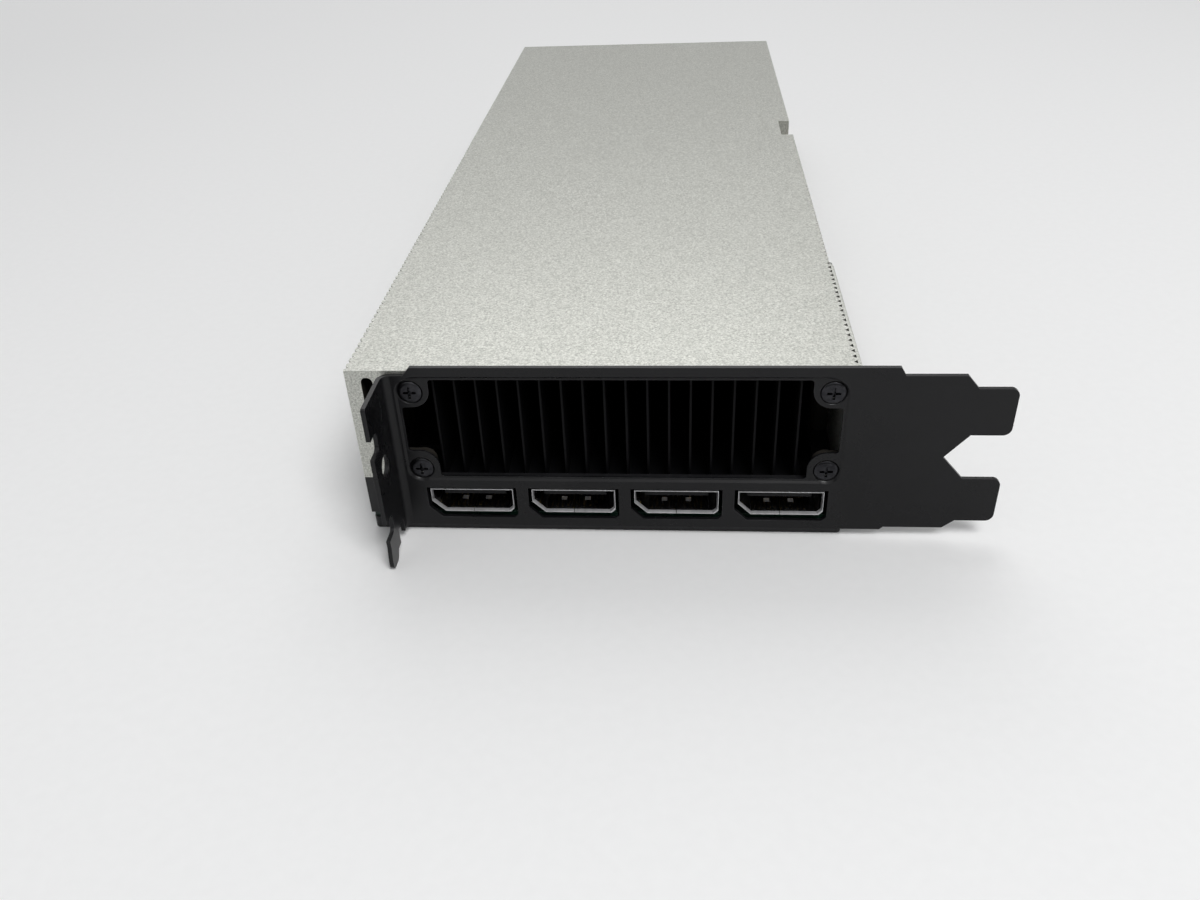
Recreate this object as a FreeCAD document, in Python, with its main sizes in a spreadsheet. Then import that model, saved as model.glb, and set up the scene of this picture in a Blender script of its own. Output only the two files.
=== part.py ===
import FreeCAD, Part
import math
import os
import re
import Sketcher

# Passive accelerator card, dual slot, full height. The card lies on its backplate.
# +X runs from the flange side to the edge connector, +Y from the bracket to the far end,
# +Z from the backplate up. The origin is the middle of the overall box's underside.

doc = FreeCAD.newDocument("accelerator_card")
sizes = doc.addObject("Spreadsheet::Sheet", "sizes")
places = doc.addObject("Spreadsheet::Sheet", "places")

# Driving sizes in millimetres. "Out" is measured from the bracket's outer face along the card,
# "across" from the flange's outer face, and "up" from the lower edge of the lower tongue.
driving = {
    # the card as a whole
    "cardLength": 267.7,
    "cardWidth": 97.6,
    "flangeInset": 6.75,
    "frameHeight": 8.95,
    "shroudHeight": 25.07,
    # backplate
    "backplateThick": 1.5,
    "backplateRim": 1.18,
    "rimWidth": 2.0,
    "plateInset": 0.15,
    "plateSetback": 0.3,
    "plateWindow": 62.0,
    "standoffRadius": 2.5,
    # circuit board
    "boardThick": 1.57,
    "boardInset": 0.4,
    "boardSetback": 0.8,
    "tabOut": 44.0,
    "tabLength": 84.0,
    "tabAcross": 103.4,
    "tabDepth": 8.25,
    "tabBevel": 0.45,
    "tabBevelLength": 1.3,
    "tabShoulder": 4.0,
    "fingerCount": 82,
    "fingerGap": 11,
    "fingerPitch": 1.0,
    "fingerWidth": 0.7,
    "fingerLength": 5.0,
    "fingerThick": 0.05,
    "fingerOut": 0.65,
    "keyOut": 12.15,
    "keyWidth": 1.9,
    "keyDepth": 7.6,
    "catchGap": 2.4,
    "catchLength": 6.0,
    "catchDepth": 4.6,
    # bracket sheet, its outline and its fold
    "sheetThick": 0.86,
    "bendRadius": 1.6,
    "bracketLength": 120.02,
    "bracketHeight": 37.45,
    "bracketDrop": 2.5,
    "tongueRise": 0.15,
    "tongueWidth": 10.19,
    "slotPitch": 20.32,
    "bodyAcross": 98.1,
    "shoulderAcross": 110.3,
    "tongueAcross": 112.6,
    "valleyAcross": 108.24,
    "topStep": 1.7,
    "lowStep": 0.65,
    "stepSlope": 1.0,
    "tipRadius": 1.6,
    "cornerStep": 1.75,
    "cornerAcross": 4.9,
    "cornerSlope": 1.5,
    # flange
    "flangeReach": 12.4,
    "screwSlotWidth": 4.2,
    "screwSlotDepth": 3.9,
    "screwSlotUp": 4.7,
    "screwSlotPitch": 19.4,
    "flangeHoleRadius": 2.25,
    "flangeHoleIn": 7.0,
    "flangeHoleUp": 17.2,
    "hookWidth": 6.1,
    "hookDrop": 4.3,
    "hookLean": 0.5,
    "hookRadius": 1.2,
    # vent in the bracket and in the shroud's front wall
    "ventLeftMargin": 10.35,
    "ventRightMargin": 2.35,
    "ventSill": 0.8,
    "ventHead": 1.77,
    "ventCorner": 0.7,
    "lobeWidth": 5.85,
    "lobeHeight": 6.1,
    "lobeRadius": 3.7,
    "ventEase": 1.1,
    "recessMargin": 0.85,
    "recessSlope": 0.45,
    "recessDepth": 0.35,
    "recessRadius": 4.2,
    "ventScrewInX": 2.1,
    "ventScrewInZ": 2.35,
    "ventScrewDrop": 0.4,
    # video ports
    "portCount": 4,
    "portAcross": 15.3,
    "portPitch": 20.9,
    "portWidth": 17.0,
    "portHeight": 5.6,
    "portUp": 0.9,
    "portCorner": 2.6,
    "portRound": 0.8,
    "portWall": 0.35,
    "portDepth": 18.0,
    "portSink": 0.1,
    "portGapSide": 0.75,
    "portGapBelow": 1.4,
    "portGapAbove": 0.45,
    "portSeam": 0.15,
    "portSpringAway": 2.45,
    "portSpringWidth": 1.1,
    "portSpringLength": 1.9,
    "portSpringHeight": 0.45,
    "portSpringIn": 3.5,
    "portCoreDepth": 9.0,
    "tongueWide": 13.0,
    "tongueThick": 1.1,
    "tongueSink": 3.1,
    "contactCount": 10,
    "contactPitch": 1.15,
    "contactWidth": 0.5,
    "contactThick": 0.1,
    "contactLength": 4.6,
    # frame between the board and the shroud
    "railWidth": 6.0,
    "lintelDepth": 1.9,
    "lintelThick": 1.9,
    "bayDepth": 18.6,
    "bayMargin": 0.8,
    "endWall": 3.0,
    "webGap": 1.6,
    "webThick": 1.2,
    "webOut": 22.0,
    "webEnd": 248.0,
    # shroud
    "shroudTop": 1.4,
    "shroudSide": 2.0,
    "shroudFront": 2.4,
    "bossRadius": 2.5,
    "bossLength": 1.0,
    "postRadius": 2.6,
    "postHeight": 14.0,
    "ribPitch": 2.15,
    "ribWidth": 1.35,
    "ribDepth": 0.8,
    "ribOut": 2.1,
    "ribCount": 65,
    "notchOut": 144.2,
    "notchLength": 14.0,
    "notchDepth": 3.45,
    "notchWall": 1.5,
    "slotAway": 4.2,
    "slotWidth": 2.3,
    "slotTop": 1.6,
    "slotLength": 10.0,
    # strip on the shroud's right side
    "stripThick": 0.65,
    "stripEnd": 50.0,
    "stripSlope": 2.2,
    # screws
    "sideScrewInset": 3.2,
    "sideScrewOut": 22.0,
    "sideScrewPitch": 58.5,
    "sideScrewRows": 5,
    "sideScrewRadius": 1.0,
    "sideHeadRadius": 1.9,
    "sideScrewBite": 5.0,
    "clearance": 0.15,
    "ventScrewRadius": 1.25,
    "ventHeadRadius": 2.3,
    "ventHeadGap": 0.3,
    "ventScrewLength": 3.0,
    "ventCrown": 0.3,
    "ventCrownInset": 0.65,
    "crossWidth": 0.55,
    "crossLength": 2.6,
    "crossDepth": 0.9,
    # processor, memory and what lies on them
    "chipOut": 118.0,
    "chipAcross": 45.15,
    "packageSize": 42.0,
    "packageThick": 2.2,
    "dieWidth": 25.0,
    "dieLength": 29.0,
    "dieThick": 0.8,
    "memoryWidth": 12.0,
    "memoryLength": 14.0,
    "memoryThick": 1.1,
    "memoryPitch": 14.6,
    "memoryAway": 30.2,
    "memoryRow": 3,
    "fixingAway": 25.5,
    "fixingRadius": 2.6,
    "windowMargin": 1.5,
    # power parts on the board
    "coilWidth": 7.0,
    "coilLength": 8.0,
    "coilHeight": 4.0,
    "coilPitch": 9.0,
    "coilCount": 8,
    "coilOutFront": 48.0,
    "coilOutRear": 186.0,
    "stageWidth": 5.0,
    "stageLength": 6.0,
    "stageThick": 0.9,
    "stageAway": 11.0,
    "canRadius": 3.15,
    "canHeight": 5.6,
    "canOut": 218.0,
    "canPitch": 8.0,
    "canCount": 9,
    "controllerSize": 7.0,
    "controllerThick": 0.9,
    "controllerOut": 232.0,
    "controllerPitch": 22.0,
    "controllerCount": 3,
    # cooler
    "chamberWidth": 72.0,
    "chamberLength": 110.0,
    "chamberThick": 3.0,
    "baseThick": 1.35,
    "baseOut": 26.0,
    "baseMargin": 1.5,
    "apronThick": 0.45,
    "finCount": 18,
    "finThick": 0.45,
    "finLeft": 5.95,
    "finRight": 7.75,
    "finOut": 3.5,
    "finEnd": 246.0,
    "finGap": 0.2,
    # spring that holds the cooler, under the board
    "springThick": 1.0,
    "springWidth": 6.4,
    "springHub": 9.0,
    "springScrewRadius": 1.2,
    "springHeadRadius": 2.5,
    "springHeadThick": 1.3,
    "springScrewBite": 2.6,
    # power inlet
    "inletAcross": 1.2,
    "inletWidth": 18.0,
    "inletDepth": 12.6,
    "inletHeight": 9.4,
    "inletCell": 3.5,
    "inletPitch": 4.2,
    "inletCellDepth": 9.0,
    "inletColumns": 4,
    "inletPinWidth": 0.8,
    "inletPinLength": 7.5,
    # end plate
    "endThick": 1.5,
    "intakeWidth": 76.0,
    "intakeHeight": 15.0,
    "intakeUp": 22.6,
    "extenderSpanX": 84.0,
    "extenderSpanZ": 14.0,
    "extenderRadius": 1.25,
    "endScrewSpan": 53.0,
    "endScrewShift": 11.0,
    "endScrewUp": 3.9,
    "endScrewRadius": 1.0,
    "endHeadRadius": 1.9,
    "endScrewLength": 4.2,
}

# Places that follow from the driving sizes.
derived = {
    "left": "-(flangeInset + bracketLength) / 2",
    "right": "left + cardWidth",
    "middle": "(left + right) / 2",
    "front": "(flangeReach + hookLean - cardLength) / 2",
    "back": "front + cardLength",
    "flangeX": "left + flangeInset",
    "inner": "front + sheetThick",
    "boardLow": "backplateThick + backplateRim",
    "boardTop": "boardLow + boardThick",
    "frameTop": "boardTop + frameHeight",
    "cardTop": "frameTop + shroudHeight",
    "roof": "cardTop - shroudTop",
    "ventWidth": "cardWidth - ventLeftMargin - ventRightMargin",
    "ventHeight": "shroudHeight - ventSill - ventHead",
    "ventX": "left + ventLeftMargin + ventWidth / 2",
    "ventZ": "frameTop + ventSill + ventHeight / 2",
    "ventScrewSpanX": "ventWidth - ventScrewInX * 2",
    "ventScrewSpanZ": "ventHeight - ventScrewInZ * 2",
    "ventScrewZ": "ventZ - ventScrewDrop",
    "tongueLow": "boardTop + tongueRise",
    "tongueHigh": "tongueLow + tongueWidth",
    "upperLow": "tongueLow + slotPitch",
    "upperHigh": "upperLow + tongueWidth",
    "bracketLow": "tongueLow - bracketDrop",
    "bracketTop": "bracketLow + bracketHeight",
    "bracketTip": "flangeX + bracketLength",
    "flangeEdge": "front - flangeReach",
    "portX": "flangeX + portAcross",
    "portLow": "tongueLow + portUp",
    "portFront": "front + portSink",
    "portInnerCorner": "portCorner - portWall * 0.586",
    "boardFront": "inner + boardSetback",
    "boardRight": "right - boardInset",
    "tabRight": "flangeX + tabAcross",
    "tabLeft": "tabRight - tabDepth",
    "tabFront": "front + tabOut",
    "tabBack": "tabFront + tabLength",
    "frameBack": "back - endThick",
    "lintelLow": "frameTop - lintelThick",
    "webLow": "boardTop + webGap",
    "webTop": "webLow + webThick",
    "chipX": "flangeX + chipAcross",
    "chipY": "front + chipOut",
    "packageTop": "boardTop + packageThick",
    "dieTop": "packageTop + dieThick",
    "chamberTop": "dieTop + chamberThick",
    "finLow": "chamberTop + baseThick",
    "finTop": "roof - finGap",
    "finX": "left + ventLeftMargin + finLeft",
    "finSpan": "ventWidth - finLeft - finRight",
    "finPitch": "finSpan / (finCount - 1)",
    "sideScrewLeft": "left + sideScrewInset",
    "sideScrewRight": "right - sideScrewInset",
    "sideScrewY": "front + sideScrewOut",
    "inletX": "flangeX + inletAcross",
    "inletTop": "boardTop + inletHeight",
    "intakeZ": "tongueLow + intakeUp",
    "springLow": "boardLow - springThick",
}


def bound(text, home=""):
    """Name the sheet that each size or place in an expression comes from."""

    def prefixed(found):
        word = found.group(0)
        if word in driving:
            return "sizes." + word
        if word in derived:
            return home + word
        return word

    return re.sub(r"[A-Za-z_]\w*", prefixed, text)


def expression(text):
    return bound(str(text), "places.")


for row, (name, value) in enumerate(driving.items(), start=1):
    sizes.set("A%d" % row, name)
    sizes.set("B%d" % row, str(value))
    sizes.setAlias("B%d" % row, name)
for row, (name, text) in enumerate(derived.items(), start=1):
    places.set("A%d" % row, name)
    places.set("B%d" % row, "=" + bound(text))
    places.setAlias("B%d" % row, name)
doc.recompute()


def worth(text):
    """The number that an expression comes to now."""
    return float(places.evalExpression(expression(text)))


# ---------------------------------------------------------------- sketches
def sketchOn(body, name, plane, lift):
    """A sketch on one of the body's own planes, lifted along that plane's normal."""
    sketch = body.newObject("Sketcher::SketchObject", name)
    support = [item for item in body.Origin.OriginFeatures if item.Role == plane][0]
    sketch.AttachmentSupport = [(support, "")]
    sketch.MapMode = "FlatFace"
    sketch.setExpression("AttachmentOffset.Base.z", expression(lift))
    return sketch


def hold(sketch, kind, geometry, point, text):
    number = sketch.addConstraint(Sketcher.Constraint(kind, -1, 1, geometry, point, worth(text)))
    sketch.setExpression("Constraints[%d]" % number, expression(text))


def polygon(sketch, corners):
    """A closed run of lines whose corners are held by their distances from the origin."""
    points = [FreeCAD.Vector(worth(across), worth(up), 0) for across, up in corners]
    first = sketch.GeometryCount
    count = len(points)
    for index in range(count):
        sketch.addGeometry(Part.LineSegment(points[index], points[(index + 1) % count]), False)
    for index in range(count):
        follower = first + (index + 1) % count
        sketch.addConstraint(Sketcher.Constraint("Coincident", first + index, 2, follower, 1))
        hold(sketch, "DistanceX", first + index, 1, corners[index][0])
        hold(sketch, "DistanceY", first + index, 1, corners[index][1])


def rectangle(sketch, low, high):
    polygon(sketch, [low, (high[0], low[1]), high, (low[0], high[1])])


def circle(sketch, centre, radius):
    middle = FreeCAD.Vector(worth(centre[0]), worth(centre[1]), 0)
    normal = FreeCAD.Vector(0, 0, 1)
    index = sketch.addGeometry(Part.Circle(middle, normal, worth(radius)), False)
    hold(sketch, "DistanceX", index, 3, centre[0])
    hold(sketch, "DistanceY", index, 3, centre[1])
    number = sketch.addConstraint(Sketcher.Constraint("Radius", index, worth(radius)))
    sketch.setExpression("Constraints[%d]" % number, expression(radius))


def roundedRectangle(sketch, low, high, radius):
    """A rectangle with round corners: four lines and four arcs, held by the arcs' centres."""
    west = "%s + %s" % (low[0], radius)
    south = "%s + %s" % (low[1], radius)
    east = "%s - %s" % (high[0], radius)
    north = "%s - %s" % (high[1], radius)
    centres = [(east, south), (east, north), (west, north), (west, south)]
    round_ = worth(radius)
    first = sketch.GeometryCount
    normal = FreeCAD.Vector(0, 0, 1)
    for turn, (across, up) in enumerate(centres):
        middle = FreeCAD.Vector(worth(across), worth(up), 0)
        start = math.radians(90 * turn - 90)
        arc = Part.ArcOfCircle(Part.Circle(middle, normal, round_), start, start + math.pi / 2)
        sketch.addGeometry(arc, False)
    for turn in range(4):
        begin = sketch.getPoint(first + turn, 2)
        end = sketch.getPoint(first + (turn + 1) % 4, 1)
        sketch.addGeometry(Part.LineSegment(begin, end), False)
    for turn in range(4):
        line = first + 4 + turn
        sketch.addConstraint(Sketcher.Constraint("Tangent", first + turn, 2, line, 1))
        sketch.addConstraint(Sketcher.Constraint("Tangent", line, 2, first + (turn + 1) % 4, 1))
        hold(sketch, "DistanceX", first + turn, 3, centres[turn][0])
        hold(sketch, "DistanceY", first + turn, 3, centres[turn][1])
        if turn:
            sketch.addConstraint(Sketcher.Constraint("Equal", first, first + turn))
    number = sketch.addConstraint(Sketcher.Constraint("Radius", first, round_))
    sketch.setExpression("Constraints[%d]" % number, expression(radius))


# ---------------------------------------------------------------- features
def newBody(label):
    body = doc.addObject("PartDesign::Body", label)
    body.Label = label
    return body


def settle(body, feature):
    """Make the feature the body's tip, and stop at the first one that fails."""
    body.Tip = feature
    doc.recompute()
    if "Up-to-date" not in feature.State or not feature.Shape.isValid():
        raise RuntimeError(body.Label + ": " + feature.Label + " " + feature.getStatusString())
    return feature


def grow(body, name, sketch, length):
    """Pad the sketch along its plane's normal."""
    pad = body.newObject("PartDesign::Pad", name)
    pad.Profile = sketch
    pad.setExpression("Length", expression(length))
    return settle(body, pad)


def sink(body, name, sketch, length, alongNormal=False, taper=0):
    """Pocket the sketch against its plane's normal, or along it."""
    before = body.Shape.Volume
    pocket = body.newObject("PartDesign::Pocket", name)
    pocket.Profile = sketch
    pocket.setExpression("Length", expression(length))
    pocket.Reversed = alongNormal
    pocket.TaperAngle = taper
    settle(body, pocket)
    if not body.Shape.Volume < before:
        raise RuntimeError(body.Label + ": pocket " + name + " cuts nothing")
    return pocket


def edgesAlong(shape, axis, spots, reach):
    """Names of the straight edges along one axis that pass within reach of one of the spots."""
    others = [index for index in range(3) if index != axis]
    names = []
    for number, edge in enumerate(shape.Edges, start=1):
        if edge.Curve.TypeId != "Part::GeomLine":
            continue
        direction = edge.tangentAt(edge.FirstParameter)
        if abs(direction[axis]) < 0.999:
            continue
        middle = edge.CenterOfMass
        for spot in spots:
            if all(abs(middle[index] - spot[index]) < reach for index in others):
                names.append("Edge%d" % number)
                break
    return names


def roundEdges(body, name, axis, spots, radius, reach=0.02):
    """Fillet the edges along one axis at the given spots; a spot is three expressions."""
    points = [[worth(text) for text in spot] for spot in spots]
    base = body.Tip
    fillet = body.newObject("PartDesign::Fillet", name)
    fillet.Base = (base, edgesAlong(base.Shape, axis, points, reach))
    fillet.setExpression("Radius", expression(radius))
    return settle(body, fillet)


# ---------------------------------------------------------------- plain solids
def block(label, corner, extent):
    item = doc.addObject("Part::Box", label)
    item.Label = label
    for axis, text in zip("xyz", corner):
        item.setExpression("Placement.Base." + axis, expression(text))
    for side, text in zip(("Length", "Width", "Height"), extent):
        item.setExpression(side, expression(text))
    return item


def rod(label, foot, radius, height, alongY=False):
    item = doc.addObject("Part::Cylinder", label)
    item.Label = label
    if alongY:
        item.Placement.Rotation = FreeCAD.Rotation(FreeCAD.Vector(1, 0, 0), -90)
    for axis, text in zip("xyz", foot):
        item.setExpression("Placement.Base." + axis, expression(text))
    item.setExpression("Radius", expression(radius))
    item.setExpression("Height", expression(height))
    return item


def cone(label, foot, lowRadius, highRadius, height, alongY=False):
    item = doc.addObject("Part::Cone", label)
    item.Label = label
    if alongY:
        item.Placement.Rotation = FreeCAD.Rotation(FreeCAD.Vector(1, 0, 0), -90)
    for axis, text in zip("xyz", foot):
        item.setExpression("Placement.Base." + axis, expression(text))
    item.setExpression("Radius1", expression(lowRadius))
    item.setExpression("Radius2", expression(highRadius))
    item.setExpression("Height", expression(height))
    return item


def fused(label, items):
    item = doc.addObject("Part::MultiFuse", label)
    item.Label = label
    item.Shapes = items
    item.Refine = True
    return item


def cut(label, base, tool):
    item = doc.addObject("Part::Cut", label)
    item.Label = label
    item.Base = base
    item.Tool = tool
    return item


def separate(label, items):
    """Separate solids under one name."""
    item = doc.addObject("Part::Compound", label)
    item.Label = label
    item.Links = items
    return item


def count(name):
    return int(driving[name])


# Screw places that several pieces share.
sideScrewSpots = []
for side in ("sideScrewLeft", "sideScrewRight"):
    for row in range(count("sideScrewRows")):
        sideScrewSpots.append((side, "sideScrewY + %d * sideScrewPitch" % row))

ventScrewSpots = []
for side in ("-", "+"):
    for level in ("-", "+"):
        across = "ventX %s ventScrewSpanX / 2" % side
        ventScrewSpots.append((across, "ventScrewZ %s ventScrewSpanZ / 2" % level))

fixingSpots = []
for side in ("-", "+"):
    for end in ("-", "+"):
        fixingSpots.append(("chipX %s fixingAway" % side, "chipY %s fixingAway" % end))

subParts = []


# ---------------------------------------------------------------- backplate
def makeBackplate():
    body = newBody("backplate")
    subParts.append(body)
    lowCorner = ("left + plateInset", "inner + plateSetback")
    highCorner = ("right - plateInset", "back - plateInset")
    outline = sketchOn(body, "backplate_outline", "XY_Plane", "0")
    rectangle(outline, lowCorner, highCorner)
    grow(body, "backplate_sheet", outline, "boardLow")
    spots = [(x, y, "0") for x in (lowCorner[0], highCorner[0]) for y in (lowCorner[1], highCorner[1])]
    roundEdges(body, "backplate_corners", 2, spots, "rimWidth / 2")
    tray = sketchOn(body, "backplate_tray", "XY_Plane", "boardLow")
    rectangle(
        tray,
        (lowCorner[0] + " + rimWidth", lowCorner[1] + " + rimWidth"),
        (highCorner[0] + " - rimWidth", highCorner[1] + " - rimWidth"),
    )
    sink(body, "backplate_hollow", tray, "backplateRim")
    standoffs = sketchOn(body, "backplate_standoffs", "XY_Plane", "backplateThick / 2")
    for x, y in sideScrewSpots:
        circle(standoffs, (x, y), "standoffRadius")
    grow(body, "backplate_posts", standoffs, "boardLow - backplateThick / 2")
    window = sketchOn(body, "backplate_window", "XY_Plane", "0")
    rectangle(
        window,
        ("chipX - plateWindow / 2", "chipY - plateWindow / 2"),
        ("chipX + plateWindow / 2", "chipY + plateWindow / 2"),
    )
    sink(body, "backplate_opening", window, "backplateThick", alongNormal=True)
    holes = sketchOn(body, "backplate_holes", "XY_Plane", "0")
    for x, y in sideScrewSpots:
        circle(holes, (x, y), "sideScrewRadius + clearance")
    sink(body, "backplate_bores", holes, "boardLow", alongNormal=True)
    heads = sketchOn(body, "backplate_heads", "XY_Plane", "0")
    for x, y in sideScrewSpots:
        circle(heads, (x, y), "sideHeadRadius + clearance")
    sink(body, "backplate_sinks", heads, "sideHeadRadius - sideScrewRadius", True, -45)


# ---------------------------------------------------------------- circuit board
def makeBoard():
    body = newBody("circuit_board")
    subParts.append(body)
    outline = sketchOn(body, "board_outline", "XY_Plane", "boardLow")
    shoulderFront = "tabFront - tabShoulder"
    catchFront = "tabBack + catchGap"
    catchBack = "tabBack + catchGap + catchLength"
    polygon(
        outline,
        [
            ("left + boardInset", "boardFront"),
            ("boardRight", "boardFront"),
            ("boardRight", shoulderFront),
            ("tabLeft", shoulderFront),
            ("tabLeft", catchFront),
            ("tabLeft + catchDepth", catchFront),
            ("tabLeft + catchDepth", catchBack),
            ("tabLeft", catchBack),
            ("tabLeft", catchBack + " + tabShoulder"),
            ("boardRight", catchBack + " + tabShoulder"),
            ("boardRight", "back - boardInset"),
            ("left + boardInset", "back - boardInset"),
        ],
    )
    grow(body, "board_sheet", outline, "boardThick")
    # the tab's lower edge is bevelled on both faces
    tab = sketchOn(body, "board_tab", "XZ_Plane", "-tabBack")
    polygon(
        tab,
        [
            ("tabLeft - tabBevel", "boardLow"),
            ("tabRight - tabBevelLength", "boardLow"),
            ("tabRight", "boardLow + tabBevel"),
            ("tabRight", "boardTop - tabBevel"),
            ("tabRight - tabBevelLength", "boardTop"),
            ("tabLeft - tabBevel", "boardTop"),
        ],
    )
    grow(body, "board_edge_tab", tab, "tabLength")
    holes = sketchOn(body, "board_holes", "XY_Plane", "boardTop")
    rectangle(
        holes,
        ("tabRight - keyDepth", "tabFront + keyOut - keyWidth / 2"),
        ("tabRight + keyWidth", "tabFront + keyOut + keyWidth / 2"),
    )
    for x, y in sideScrewSpots:
        circle(holes, (x, y), "sideScrewRadius + clearance")
    for x, y in fixingSpots:
        circle(holes, (x, y), "springScrewRadius + clearance")
    sink(body, "board_cuts", holes, "boardThick")


def makeFingers():
    """Gold contacts on both faces of the tab; the key notch parts them into two runs."""
    fingers = []
    for face, level in (("upper", "boardTop"), ("lower", "boardLow - fingerThick")):
        for index in range(count("fingerCount")):
            along = "tabFront + fingerOut + %d * fingerPitch" % index
            if index >= count("fingerGap"):
                along += " + keyWidth / 2 + fingerPitch / 2"
            fingers.append(
                block(
                    "%s_finger_%d" % (face, index + 1),
                    ("tabRight - tabBevelLength - fingerLength", along, level),
                    ("fingerLength", "fingerWidth", "fingerThick"),
                )
            )
    subParts.append(separate("edge_contacts", fingers))


# ---------------------------------------------------------------- vent outline
def ventOutline(sketch):
    """The vent's twelve corners: a rectangle that steps in around each of its four screws."""
    low = "ventZ - ventHeight / 2"
    high = "ventZ + ventHeight / 2"
    west = "ventX - ventWidth / 2"
    east = "ventX + ventWidth / 2"
    polygon(
        sketch,
        [
            (west, low + " + lobeHeight"),
            (west + " + lobeWidth", low + " + lobeHeight"),
            (west + " + lobeWidth", low),
            (east + " - lobeWidth", low),
            (east + " - lobeWidth", low + " + lobeHeight"),
            (east, low + " + lobeHeight"),
            (east, high + " - lobeHeight"),
            (east + " - lobeWidth", high + " - lobeHeight"),
            (east + " - lobeWidth", high),
            (west + " + lobeWidth", high),
            (west + " + lobeWidth", high + " - lobeHeight"),
            (west, high + " - lobeHeight"),
        ],
    )


def roundVent(body, name):
    """Round the lobes around the screws."""
    spots = []
    for x in ("ventX - ventWidth / 2 + lobeWidth", "ventX + ventWidth / 2 - lobeWidth"):
        for z in ("ventZ - ventHeight / 2 + lobeHeight", "ventZ + ventHeight / 2 - lobeHeight"):
            spots.append((x, "0", z))
    roundEdges(body, name + "_lobes", 1, spots, "lobeRadius")
    spots = []
    for x in ("ventX - ventWidth / 2 + lobeWidth", "ventX + ventWidth / 2 - lobeWidth"):
        for z in ("ventZ - ventHeight / 2", "ventZ + ventHeight / 2"):
            spots.append((x, "0", z))
    for x in ("ventX - ventWidth / 2", "ventX + ventWidth / 2"):
        for z in ("ventZ - ventHeight / 2 + lobeHeight", "ventZ + ventHeight / 2 - lobeHeight"):
            spots.append((x, "0", z))
    roundEdges(body, name + "_corners", 1, spots, "ventCorner")


def portOutline(sketch, number, wall, corner, grownSide="0", grownBelow="0", grownAbove="0"):
    """A port's section: a rectangle with its lower left corner cut off and the right one eased."""
    middle = "portX + %d * portPitch" % number
    west = middle + " - portWidth / 2 + " + wall + " - " + grownSide
    east = middle + " + portWidth / 2 - " + wall + " + " + grownSide
    low = "portLow + " + wall + " - " + grownBelow
    high = "portLow + portHeight - " + wall + " + " + grownAbove
    polygon(
        sketch,
        [
            (west + " + " + corner, low),
            (east + " - portRound", low),
            (east, low + " + portRound"),
            (east, high),
            (west, high),
            (west, low + " + " + corner),
        ],
    )


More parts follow.
